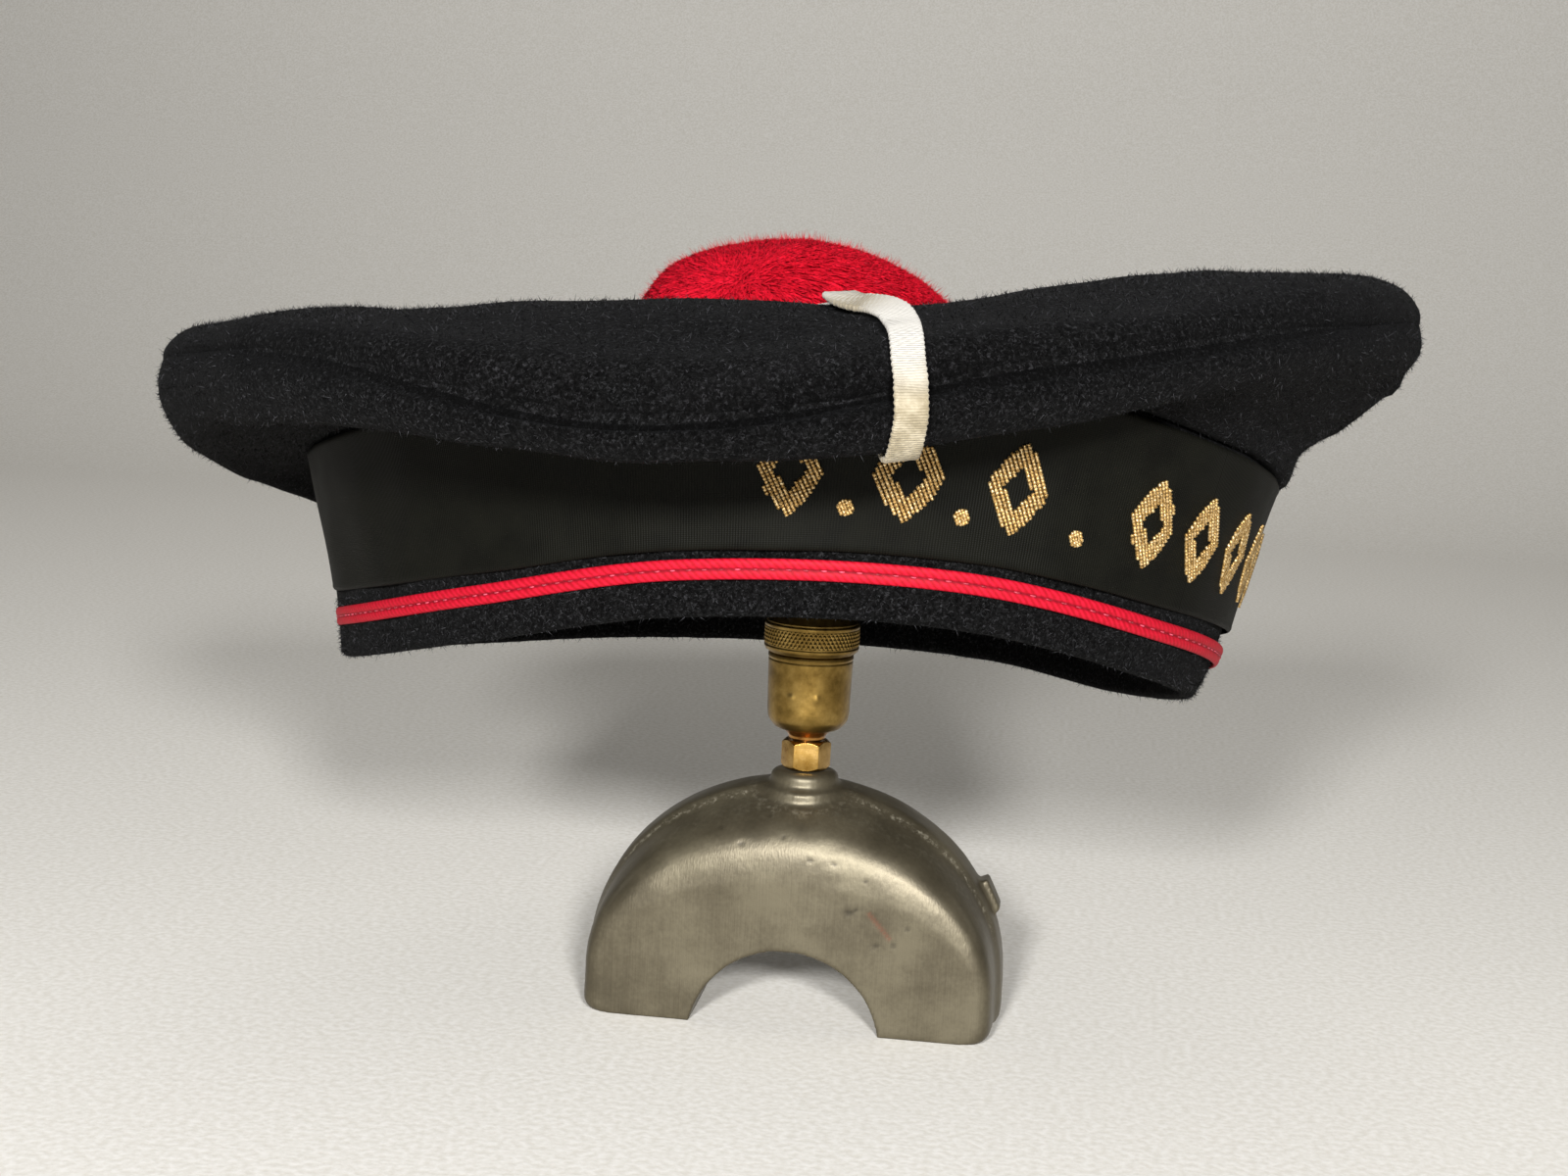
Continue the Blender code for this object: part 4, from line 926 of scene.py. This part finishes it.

# The chin strap. A row for each point of its route: the angle, the station on the crown's face,
# the lift as a share of the tape's width, and the tape's lean in degrees. The pale stretch and the bend with
# painted shade are given as rows.
strapSizes = dict(width=0.0058, thick=0.0010, gap=0.0006, step=0.00026, rib=0.00078, relief=0.00006, frays=70,
                  frayWidth=0.00010, bleached=(3.4, 25.5), bend=11.2)
strapRoute = np.array([
    (-40.8, 1.3, 0.00, 0), (-40.8, 2.5, 0.00, 0), (-40.9, 4.0, 0.00, 0), (-40.9, 5.0, 0.00, 0),
    (-40.9, 6.0, 0.00, 0), (-41.0, 7.0, 0.00, 0), (-40.9, 8.0, 0.03, 0), (-40.7, 8.8, 0.10, 4),
    (-40.9, 9.3, 0.17, 9), (-41.6, 9.65, 0.17, 13), (-42.5, 9.9, 0.14, 14), (-43.4, 10.02, 0.15, 12),
    (-44.1, 10.2, 0.18, 10), (-44.5, 10.45, 0.21, 7), (-44.5, 10.8, 0.18, 3), (-43.4, 11.3, 0.04, 0),
    (-42.9, 12.0, 0.00, 0), (-45.0, 13.0, 0.00, 0), (-54, 13.9, 0.03, 0), (-70, 14.3, 0.04, 0),
    (-96, 14.3, 0.05, 0), (-134, 14.3, 0.05, 0), (-172, 14.2, 0.05, 0), (-199, 13.4, 0.05, 0),
    (-215, 11.7, 0.05, 0), (-222, 10.0, 0.05, 0), (-225, 8.6, 0.00, 0), (-226, 7.5, 0.00, 0),
    (-226, 6.0, 0.00, 0), (-226, 5.0, 0.00, 0), (-226, 4.0, 0.00, 0), (-226, 2.5, 0.00, 0),
    (-226, 1.3, 0.00, 0),
])
# The tape's section, as shares of half its width and half its thickness
strapOutline = ((-1.0, 0.0), (-0.97, -0.62), (-0.88, -1.0), (-0.45, -1.0), (0.0, -1.0), (0.45, -1.0),
                (0.88, -1.0), (0.97, -0.62), (1.0, 0.0), (0.97, 0.62), (0.88, 1.0), (0.6, 0.86), (0.3, 0.92),
                (0.0, 0.86), (-0.3, 0.92), (-0.6, 0.86), (-0.88, 1.0), (-0.97, 0.62))


def followRoute(spots):
    # points over the lumpy crown, its normals and the tape's lean, for places along the route
    angles, stations, lift, lean = smoothAlong(strapRoute, spots).T
    here = plainCrown(angles, stations)
    side = plainCrown(angles + 0.4, stations) - plainCrown(angles - 0.4, stations)
    normals = unit(np.cross(side, plainCrown(angles, stations + 0.05) - plainCrown(angles, stations - 0.05)))
    lift = strapSizes["gap"] + strapSizes["thick"] / 2 + np.maximum(lift, 0) * strapSizes["width"]
    return here + normals * (crownLumps(here, angles, stations) + lift)[:, None], normals, np.radians(lean)


def makeStrap():
    fine = np.linspace(0, len(strapRoute) - 1, 900)
    lengths = lengthsAlong(followRoute(fine)[0])
    count, sides = int(lengths[-1] / strapSizes["step"]), len(strapOutline)
    along = np.linspace(0, lengths[-1], count)
    places = np.interp(along, lengths, fine)
    middle, normals, lean = followRoute(places)
    for _ in range(14):  # eases the little kinks of the route
        normals[1:-1] = unit(normals[:-2] + normals[1:-1] * 2 + normals[2:])
    forward = unit(np.gradient(middle, axis=0))
    normals = unit(normals - forward * (normals * forward).sum(-1, keepdims=True))
    across = np.cross(forward, normals)
    c, s = np.cos(lean)[:, None], np.sin(lean)[:, None]
    across, normals = across * c + normals * s, normals * c - across * s
    half, thick = strapSizes["width"] / 2, strapSizes["thick"] / 2
    rib = strapSizes["relief"] * np.cos(2 * math.pi * along / strapSizes["rib"])
    edge = (0.00010 * np.cos(2 * math.pi * along / 0.0011)
            + 0.00012 * np.sin(along / 0.0041 + 2 * np.sin(along / 0.013)))
    rings = []
    for n, (out, up) in enumerate(strapOutline):
        relief = rib * (abs(up) > 0.5) * (1 if up > 0 else -1) * (-1) ** (n % 2 if abs(out) < 0.8 else 0)
        rings.append(middle + across * (out * half + np.sign(out) * edge * (abs(out) > 0.9))[:, None]
                     + normals * (up * thick + relief)[:, None])
    turned = [0, 3, 2, 1]
    quads, i, k = ringFaces(count, sides)
    corners = gridCorners(i, k, np.linspace(0, 2.2 * strapSizes["width"], sides + 1), along)[:, turned]
    end = count * sides
    caps = np.stack([fan(0, sides, end), fan(end - sides, sides, end + 1, True)], 1).reshape(-1, 3)
    points = np.concatenate([np.stack(rings, 1).reshape(-1, 3), middle[:1], middle[-1:]])
    mesh = buildMesh("chinStrap", points, [caps, quads[:, turned]],
                     np.concatenate([np.zeros((caps.size, 2)), corners.reshape(-1, 2)]))
    # paler where it crosses the rim and on the crown, and darkened with painted shade at the bend
    start, stop = strapSizes["bleached"]
    bleached = np.clip((places - start) / 2.4, 0, 1) * np.clip((stop - places) / 2, 0, 1)
    # painted shade round the bend
    handled = bell(places - strapSizes["bend"], 1.9)
    paintMesh(mesh, {key: np.concatenate([np.repeat(values, sides), values[[0, -1]]])
                     for key, values in (("bleached", bleached * (1 - handled)), ("handled", handled * 0.85))})
    addPiece("chinStrap", mesh, cottonTape, ["chin_strap"])

    # frayed threads at both cut ends
    roots, tips, many = [], [], (strapSizes["frays"], 1)
    for end, sign in ((0, -1.0), (-1, 1.0)):
        spread = dice.uniform(-1, 1, many)
        root = middle[end] + across[end] * half * spread + normals[end] * dice.uniform(-0.8, 0.8, many) * thick
        aim = unit(forward[end] * sign + across[end] * dice.normal(scale=0.35, size=many)
                   + normals[end] * dice.normal(0.15, 0.25, size=many))
        roots.append(root - forward[end] * sign * 0.0004)
        tips.append(root + aim * dice.uniform(0.0003, 0.0016, many))
    mesh = spikes("strapFraying", np.concatenate(roots), np.concatenate(tips), strapSizes["frayWidth"])
    addPiece("strapFraying", mesh, cottonTape)


makeStrap()
print("chin strap made")

# The stand's half ring, lofted from front to back, with its arch cut through and its boss cast on.
# A row for each outline: its half width, its rise above the feet, and its depth, as shares.
baseSizes = dict(halfWidth=0.0450, arc=0.0403, feet=0.0100, depth=0.0240, back=0.0060, corner=0.0028,
                 archHalf=0.0201, archTall=0.0167, voxel=0.00056)
baseOutlines = np.array([
    (0.900, 0.54, 0.00), (0.930, 0.64, 0.02), (0.953, 0.73, 0.06), (0.966, 0.81, 0.14), (0.971, 0.87, 0.27),
    (0.973, 0.91, 0.41), (0.976, 0.94, 0.52), (0.988, 0.968, 0.59), (0.998, 0.99, 0.67), (1.000, 1.00, 0.95),
    (0.980, 0.98, 1.00),
])
bossSizes = dict(radius=0.0089, top=0.0508, lip=0.0072, lipTall=0.0016)
lugSizes = dict(angle=25.0, size=(0.006, 0.006, 0.0075), reach=0.0016)
# Marks on the casting, from the foot's middle: x, z and size of each pit in mm, and where a scratch runs
pits = ((12.6, 26.4, 1.3), (14.4, 27.0, 0.8), (19.0, 19.8, 0.9), (22.5, 20.2, 0.7), (-10.8, 38.9, 0.7),
        (-2.0, 41.0, 0.6), (3.9, 36.6, 0.6), (9.0, 36.2, 0.6), (-15.6, 41.4, 0.5), (16.0, 33.2, 0.5),
        (25.0, 24.0, 0.6), (-5.5, 44.4, 0.5))
scratchStart, scratchLength = np.array((17.0, 0.0, 26.5)) / 1000, 0.0068
scratchRun = np.array((4.6, 0.0, -5.0)) / 6.8
valley, ridge = 0.35, 0.565  # where chalk lies, as shares of the casting's depth from the front


def latheBm(profile, steps):
    # a closed turned body from pairs of radius and height that start and end on the axis
    bm, rings = bmesh.new(), []
    for radius, height in profile:
        turns = [2 * math.pi * k / steps for k in range(steps if radius > 1e-6 else 1)]
        rings.append([bm.verts.new((radius * math.cos(t), radius * math.sin(t), height)) for t in turns])
    for a, b in zip(rings, rings[1:]):
        for k in range(steps if len(a) + len(b) > 2 else 0):
            n = (k + 1) % steps
            corners = [a[k % len(a)], b[k % len(b)], b[n % len(b)], a[n % len(a)]]
            bm.faces.new(list(dict.fromkeys(corners)))
    return bm


def softenCorners(profile, default=0.00025):
    # rounds each corner of a turned profile, so that its edges catch the light
    made = [profile[0][:2]]
    for before, here, after in zip(profile, profile[1:], profile[2:]):
        a, b, c = (np.array(p[:2]) for p in (before, here, after))
        toA, toC = np.linalg.norm(a - b), np.linalg.norm(c - b)
        size = min(here[2] if len(here) > 2 else default, 0.45 * toA, 0.45 * toC)
        start, end = b + (a - b) / max(toA, 1e-9) * size, b + (c - b) / max(toC, 1e-9) * size
        made += [tuple((1 - t) ** 2 * start + 2 * t * (1 - t) * b + t * t * end)
                 for t in (0.0, 0.2, 0.4, 0.6, 0.8, 1.0)]
    return made + [profile[-1][:2]]


def loftBase():
    look, bm, rings = baseSizes, bmesh.new(), []
    for width, rise, depth in smoothAlong(baseOutlines, np.linspace(0, len(baseOutlines) - 1, 41)):
        half, tall, small = width * look["halfWidth"], rise * look["arc"], look["corner"]
        line = [(half - small + small * math.cos(t), small + small * math.sin(t))
                for t in (math.radians(degrees) for degrees in range(270, 361, 15))]
        quarter = [math.pi * k / 120 for k in range(61)]
        line += [(half * math.cos(t), look["feet"] + tall * math.sin(t)) for t in quarter]
        line += [(-x, z) for x, z in reversed(line[:-1])]
        y = look["back"] - look["depth"] * (1.0 - min(max(depth, 0.0), 1.0))
        rings.append([bm.verts.new((x, y, z)) for x, z in line])
    for a, b in zip(rings, rings[1:]):
        for k in range(len(a)):
            n = (k + 1) % len(a)
            bm.faces.new((a[k], a[n], b[n], b[k]))
    bm.faces.new(rings[0])
    bm.faces.new(tuple(reversed(rings[-1])))
    return linkObject("standBase", meshFromBm(bm, "standBase"))


def shapeBase():
    look, boss, lug = baseSizes, bossSizes, lugSizes
    body = loftBase()
    drop = (look["archHalf"] ** 2 - look["archTall"] ** 2) / (2 * look["archTall"])
    bm, bend = bmesh.new(), look["archTall"] + drop
    bmesh.ops.create_cone(bm, cap_ends=True, segments=160, radius1=bend, radius2=bend, depth=0.1)
    bmesh.ops.rotate(bm, matrix=Matrix.Rotation(math.radians(90), 3, "X"), verts=bm.verts)
    bmesh.ops.translate(bm, vec=(0, 0, -drop), verts=bm.verts)
    arch = linkObject("archCut", meshFromBm(bm, "archCut"))
    cut = body.modifiers.new("arch", "BOOLEAN")
    cut.operation, cut.solver, cut.object = "DIFFERENCE", "EXACT", arch
    carved = bakedMesh(body)

    # the boss, its lip and the side lug are melted on by the remesh
    whole, foot = bmesh.new(), look["feet"] + look["arc"]
    whole.from_mesh(carved)
    wide, lip, top, lipTop = boss["radius"], boss["lip"], boss["top"], boss["top"] + boss["lipTall"]
    turned = latheBm(softenCorners([
        (0, lipTop), (lip - 0.0012, lipTop, 0.0005), (lip, top + boss["lipTall"] * 0.55, 0.0005),
        (lip + 0.0001, top - 0.0016, 0.0002), (wide - 0.0001, top - 0.0020, 0.0003),
        (wide + 0.0002, top - 0.0028, 0.0003), (wide + 0.0001, foot - 0.0052, 0.0012),
        (wide + 0.0012, foot - 0.0068, 0.0008), (wide + 0.0012, foot * 0.6), (0, foot * 0.6)]), 96)
    at, inward = math.radians(lug["angle"]), lug["reach"] - lug["size"][0] / 2
    block = bmesh.new()
    bmesh.ops.create_cube(block, size=1.0)
    bmesh.ops.scale(block, vec=lug["size"], verts=block.verts)
    bmesh.ops.rotate(block, matrix=Matrix.Rotation(-at, 3, "Y"), verts=block.verts)
    place = ((look["halfWidth"] + inward) * math.cos(at), look["back"] - lug["size"][1] / 2 + 0.001,
             look["feet"] + (look["arc"] + inward) * math.sin(at))
    bmesh.ops.translate(block, vec=place, verts=block.verts)
    spare = bpy.data.meshes.new("spare")
    for extra in (turned, block):
        extra.to_mesh(spare)
        extra.free()
        whole.from_mesh(spare)
    whole.to_mesh(carved)
    whole.free()
    body.modifiers.clear()
    body.data = carved
    melt = body.modifiers.new("melt", "REMESH")
    melt.mode, melt.voxel_size = "VOXEL", look["voxel"]
    ease = body.modifiers.new("ease", "SMOOTH")
    ease.factor, ease.iterations = 0.5, 3
    cast = bakedMesh(body)
    for thing in (arch, body):
        bpy.data.objects.remove(thing, do_unlink=True)
    return cast


def makeBase():
    look, cast = baseSizes, shapeBase()
    spots, normals = readMesh(cast), readMesh(cast, "normal")

    # uneven casting, dark pits, a rusty scratch, and chalk in the valley and on the ridge
    pitMark, facing = np.zeros(len(spots)), np.clip(-normals[:, 1] * 1.6, 0, 1)
    wobble = 1 + 0.25 * softNoise(spots, 0.0013, 31)
    for x, z, size in pits:
        away = np.hypot((spots[:, 0] - x / 1000) / 1.25, spots[:, 2] - z / 1000)
        pitMark += bell(away, 0.62 * size / 1000 * wobble) * facing
    pitMark = np.clip(pitMark, 0, 1)
    way = np.clip((spots - scratchStart) @ scratchRun, 0, scratchLength)
    gap = spots - scratchStart - way[:, None] * scratchRun
    rust = bell(np.hypot(gap[:, 0], gap[:, 2]), 0.00038) * facing
    depth = (spots[:, 1] - look["back"] + look["depth"]) / look["depth"]
    chalk = 0.55 * bell(depth - ridge, 0.028) * np.clip((spots[:, 2] - 0.014) / 0.01, 0, 1)
    chalk = chalk * (np.abs(spots[:, 0]) > 0.012)
    chalk = np.clip(chalk + 0.10 * bell(depth - valley, 0.12), 0, 1)
    bossFoot = bell(np.hypot(spots[:, 0], spots[:, 1]) - 0.0112, 0.0012) * (spots[:, 2] > 0.038)
    chalk = np.clip(chalk + 0.2 * bossFoot, 0, 1)
    uneven = 0.00005 * softNoise(spots, 0.018, 32) + 0.00001 * softNoise(spots, 0.004, 33)
    spots = spots + normals * (uneven - 0.00012 * pitMark - 0.00006 * rust)[:, None]
    spots[:, 2] = np.maximum(spots[:, 2], 0.0)
    moveMesh(cast, spots)
    paintMesh(cast, {"pit": pitMark * 0.7, "rust": rust * 0.8, "chalk": chalk,
                     "ground": np.clip(-normals[:, 1] * 4 - 3, 0, 1)})
    addPiece("castBase", cast, tarnishedCastMetal, ["stand_base"], standMatrix)


makeBase()
print("stand base made")

# What stands on the boss, from the nut up. Heights are worked out from the boss's top. The
# collar's sleeve is the smooth tube that goes on up inside the cap.
fitSizes = dict(gap=0.0003, nutFlats=0.0092, nutTall=0.0062, nutTurn=7.0, bore=0.0033, neck=0.0040,
                neckTall=0.0020, shank=0.0030, cup=0.0092, cupFoot=0.0087, cupTall=0.0165, stakeOut=0.009,
                collar=0.01025, collarTall=0.0066, collarWall=0.0009, collarFloor=0.0015, sleeveIn=0.0006,
                sleeveTall=0.0040, diamonds=66, knurl=0.00028, post=0.0045, pad=0.022, padThick=0.003)
# Two punched marks side by side on the cup: each one's angle, height, depth and size
stakes = ((-108.5, 0.0079, 0.00028, 0.00080), (-72.6, 0.0079, 0.00028, 0.00080))
nutLow = bossSizes["top"] + bossSizes["lipTall"] + fitSizes["gap"]
neckLow = nutLow + fitSizes["nutTall"] + fitSizes["gap"]
cupFloor = neckLow + fitSizes["neckTall"]
collarLow = cupFloor + fitSizes["cupTall"] + fitSizes["gap"]


def makeNut():
    size, low, high = fitSizes, nutLow, nutLow + fitSizes["nutTall"]
    corner, bore = size["nutFlats"] / 2 / math.cos(math.radians(30)), size["bore"]
    bm = bmesh.new()
    bmesh.ops.create_cone(bm, cap_ends=True, segments=6, radius1=corner, radius2=corner, depth=size["nutTall"])
    bmesh.ops.rotate(bm, matrix=Matrix.Rotation(math.radians(30 + size["nutTurn"]), 3, "Z"), verts=bm.verts)
    bmesh.ops.translate(bm, vec=(0, 0, nutLow + size["nutTall"] / 2), verts=bm.verts)
    nut = linkObject("hexNut", meshFromBm(bm, "hexNut"))
    cone = latheBm([(0, low - 0.0001), (corner - 0.0009, low - 0.0001), (corner + 0.0001, low + 0.0008),
                    (corner + 0.0001, high - 0.0008), (corner - 0.0009, high + 0.0001), (0, high + 0.0001)], 96)
    hole = latheBm([(0, low - 0.002), (bore, low - 0.002), (bore, high + 0.002), (0, high + 0.002)], 64)
    things = [nut]
    for name, operation, tool in (("chamfer", "INTERSECT", cone), ("bore", "DIFFERENCE", hole)):
        things.append(linkObject(name, meshFromBm(tool, name)))
        step = nut.modifiers.new(operation, "BOOLEAN")
        step.operation, step.solver, step.object = operation, "EXACT", things[-1]
    soft = nut.modifiers.new("soft", "BEVEL")
    soft.width, soft.segments, soft.limit_method, soft.angle_limit = 0.00012, 2, "ANGLE", math.radians(25)
    mesh = bakedMesh(nut)
    for thing in things:
        bpy.data.objects.remove(thing, do_unlink=True)
    mesh.shade_smooth()
    mesh.set_sharp_from_angle(angle=math.radians(28))
    addPiece("hexNut", mesh, polishedBrass, ["hex_nut"], standMatrix)


def makeCup():
    size, top = fitSizes, cupFloor + fitSizes["cupTall"] + fitSizes["gap"] * 0.9
    wide, foot, neck, shank = size["cup"], size["cupFoot"], size["neck"], size["shank"]
    profile = softenCorners([
        (0, top), (wide - 0.0006, top, 0.0002), (wide - 0.0001, top - 0.0002, 0.0002),
        (wide, top - 0.0010, 0.0004), (wide - 0.0002, top - 0.0013, 0.0003),
        (wide - 0.0001, top - 0.0017, 0.0003), (wide - 0.0002, top - 0.0036, 0.0004),
        (foot + 0.0001, cupFloor + 0.0038, 0.0010), (foot - 0.0002, cupFloor + 0.0022, 0.0010),
        (foot - 0.0016, cupFloor + 0.0005, 0.0010), (neck + 0.0012, cupFloor - 0.0001, 0.0008),
        (neck, neckLow + 0.0008, 0.0004), (neck - 0.0001, neckLow, 0.0002), (shank, neckLow, 0.0001),
        (shank, nutLow - 0.0002, 0.0002), (0, nutLow - 0.0002)])
    fine = [profile[0]]
    for a, b in zip(profile, profile[1:]):
        parts = max(1, int(math.hypot(b[0] - a[0], b[1] - a[1]) / 0.0005)) if min(a[0], b[0]) > 0.006 else 1
        fine += [tuple(p + (q - p) * n / parts for p, q in zip(a, b)) for n in range(1, parts + 1)]
    mesh = meshFromBm(latheBm(fine, 160), "brassCup")
    spots = readMesh(mesh)
    outward = unit(spots * (1, 1, 0))
    for angle, height, deep, spread in stakes:
        centre = aimAt(angle, 0) * size["stakeOut"] + (0, 0, cupFloor + height)
        spots += outward * (deep * bell(np.linalg.norm(spots - centre, axis=-1), spread))[:, None]
    dents = 0.000015 * softNoise(spots, 0.008, 41) * (np.hypot(spots[:, 0], spots[:, 1]) > 0.006)
    moveMesh(mesh, spots + outward * dents[:, None])
    addPiece("brassCup", mesh, agedBrass, ["brass_cup"], standMatrix)
    mesh.materials.append(copperyBrass)
    for face in mesh.polygons:  # the neck below the cup is more coppery
        if face.center.z < cupFloor + 0.0004:
            face.material_index = 1


def makeCollar():
    size, low, high = fitSizes, collarLow, collarLow + fitSizes["collarTall"]
    wide, cup, floor = size["collar"], size["cup"], low + size["collarFloor"]
    inner, plainTop, plainLow = wide - size["collarWall"], high - 0.0012, low + 0.0018
    inside, sleeve, top = inner - size["sleeveIn"], wide - size["sleeveIn"], high + size["sleeveTall"]
    columns = size["diamonds"] * 8
    turn = np.arange(columns) * 2 * math.pi / columns
    profile = [(inner - 0.0002, floor), (inner, floor + 0.0003), (inside, top - 0.0002), (inside + 0.0002, top),
               (sleeve - 0.0002, top), (sleeve, top - 0.0002), (sleeve, high + 0.0002), (sleeve + 0.0002, high),
               (wide - 0.0005, high), (wide - 0.00015, high - 0.00015), (wide - 0.0001, high - 0.0005),
               (wide - 0.0001, plainTop + 0.0002), (wide - 0.0003, plainTop + 0.0001)]
    first = len(profile)
    knurled = [(wide - 0.00015, z) for z in np.linspace(plainTop, plainLow, 30)]
    profile += knurled
    profile += [(wide - 0.0003, plainLow - 0.0001), (wide - 0.0001, plainLow - 0.0003),
                (wide - 0.0001, low + 0.0012), (wide - 0.0004, low + 0.0005), (cup + 0.0001, low + 0.0003),
                (cup + 0.0001, low + 0.0001), (cup - 0.0001, low)]
    pitch, rows = 2 * math.pi * wide / size["diamonds"], []
    for n, (radius, height) in enumerate(profile):
        r = np.full(columns, radius)
        if first <= n < first + len(knurled):
            cuts = [np.abs(np.mod((turn * wide + height * way) / pitch, 1) - 0.5) for way in (0.62, -0.62)]
            fade = min(1.0, (n - first) / 2, (first + len(knurled) - 1 - n) / 2)
            r = r + size["knurl"] * (np.clip(np.minimum(*cuts) * 3.2, 0, 1) - 0.6) * fade
        rows.append(np.stack([r * np.cos(turn), r * np.sin(turn), np.full(columns, height)], -1))
    count = len(rows) * columns
    fans = np.concatenate([fan(0, columns, count), fan(count - columns, columns, count + 1, True)])
    points = np.concatenate([*rows, [(0, 0, floor), (0, 0, low)]])
    mesh = buildMesh("knurledCollar", points, [fans, ringFaces(len(rows), columns)[0][:, ::-1]])
    addPiece("knurledCollar", mesh, agedBrass, ["knurled_collar"], standMatrix)


def makePost():
    # a plain rod and a round pad that lies flat against the underside of the crown
    size, low, up = fitSizes, collarLow + fitSizes["collarFloor"] + fitSizes["gap"], capUp.normalized()
    head = Vector((0, 0, capSeat["postTop"])) - up * size["padThick"]
    post, pad, padTop = size["post"], size["pad"], size["padThick"] - 0.0001
    aim = standMatrix @ Matrix.Translation(head) @ up.to_track_quat("Z", "Y").to_matrix().to_4x4()
    rod = [(0, low), (post, low, 0.0003), (post, head.z, 0.0004), (0, head.z)]
    plate = [(0, -0.0006), (0.0062, -0.0006, 0.0004), (0.0075, 0.0, 0.0006), (pad, 0.0004, 0.0006),
             (pad, padTop, 0.0008), (0, padTop)]
    for name, profile, steps, matrix in (("supportRod", rod, 64, standMatrix), ("supportPad", plate, 96, aim)):
        mesh = meshFromBm(latheBm(softenCorners(profile), steps), name)
        mesh.shade_smooth()
        addPiece(name, mesh, agedBrass, ["support_post"], matrix)


makeNut()
makeCup()
makeCollar()
makePost()
print("fittings made")

# The plain pale floor, swept up into a backdrop behind the stand: a bleached cotton sheet
stageSizes = dict(near=-4.0, bend=0.95, radius=0.75, wide=4.0, high=3.0)
paleCottonSheet = makeMaterial("paleCottonSheet", {
    "spot": ("TexCoord", {}),
    "weave": ("TexNoise", {"Vector": "spot", "Scale": perMetre(1.6), "Detail": 4.0}),
    "tint": ("ValToRGB", {"Fac": "weave", "stops": [(0.35, "#e0dcd3"), (0.65, "#efece6")]}),
    "bump": ("Bump", {"Height": "weave", "Strength": 0.25, "Distance": 0.0003}),
}, {"Base Color": "tint", "Normal": "bump", "Roughness": 0.9})


def makeStage():
    bend, radius, wide = stageSizes["bend"], stageSizes["radius"], stageSizes["wide"]
    line = [(stageSizes["near"], 0.0), (bend, 0.0)]
    line += [(bend + radius * math.sin(t), radius * (1 - math.cos(t))) for t in np.radians(range(6, 91, 6))]
    line.append((bend + radius, stageSizes["high"]))
    points = [(x, y, z) for y, z in line for x in (-wide, wide)]
    faces = np.array([(2 * n, 2 * n + 1, 2 * n + 3, 2 * n + 2) for n in range(len(line) - 1)])
    mesh = buildMesh("paleSweep", np.array(points), [faces])
    mesh.materials.append(paleCottonSheet)
    floor = linkObject("paleSweep", mesh)


makeStage()

# Each light's place, aim, size in metres and power. The two key lights beside the camera do nearly
# all, the weak ones show the cap's sides and back, and the wash keeps the backdrop pale.
lights = {
    "keyLeft": ((-0.09, -1.20, 0.50), (0.0, 0.0, 0.09), 0.13, 16.5),
    "keyRight": ((0.33, -1.15, 0.50), (0.0, 0.0, 0.09), 0.13, 16.0),
    "softLeft": ((-0.90, 0.10, 0.50), (0.0, 0.0, 0.09), 0.40, 0.5),
    "softRight": ((0.90, 0.15, 0.50), (0.0, 0.0, 0.09), 0.40, 0.45),
    "softBack": ((-0.10, 0.95, 0.95), (0.0, 0.0, 0.09), 0.50, 1.0),
    "sweepWash": ((-0.25, 0.90, 1.60), (-0.25, 1.70, 0.90), 0.80, 3.4),
}
for name, (spot, aim, size, power) in lights.items():
    lamp = bpy.data.lights.new(name, "AREA")
    lamp.size, lamp.energy = size, power
    holder = linkObject(name, lamp)
    holder.location = spot
    holder.rotation_euler = (Vector(aim) - Vector(spot)).to_track_quat("-Z", "Y").to_euler()
world = bpy.data.worlds.new("paleRoom")
world.use_nodes = True
world.node_tree.nodes["Background"].inputs["Color"].default_value = toLinear("#d8d6d2")
world.node_tree.nodes["Background"].inputs["Strength"].default_value = 0.045
scene.world = world
scene.view_settings.view_transform = "Standard"  # keeps the blacks and the reds as deep as they are

# The photograph's camera: its place from the post's foot, and the way that it looks
cameraView = dict(place=(0.0557, -0.4929, 0.1615), yaw=7.2, pitch=8.05, roll=2.9, lens=54.0)
yaw, pitch, roll = (math.radians(cameraView[name]) for name in ("yaw", "pitch", "roll"))
forward = Vector((-math.sin(yaw) * math.cos(pitch), math.cos(yaw) * math.cos(pitch), -math.sin(pitch)))
right = Vector((math.cos(yaw), math.sin(yaw), 0.0))
upward = right.cross(forward)
c, s = math.cos(roll), math.sin(roll)
right, upward = right * c + upward * s, upward * c - right * s
camera = linkObject("camera", bpy.data.cameras.new("camera"))
camera.data.lens, camera.data.sensor_width, camera.data.clip_start = cameraView["lens"], 36.0, 0.02
camera.matrix_world = Matrix((right, upward, -forward)).transposed().to_4x4()
camera.location = standFoot + Vector(cameraView["place"])
scene.camera = camera
bpy.context.view_layer.update()

print("camera set")
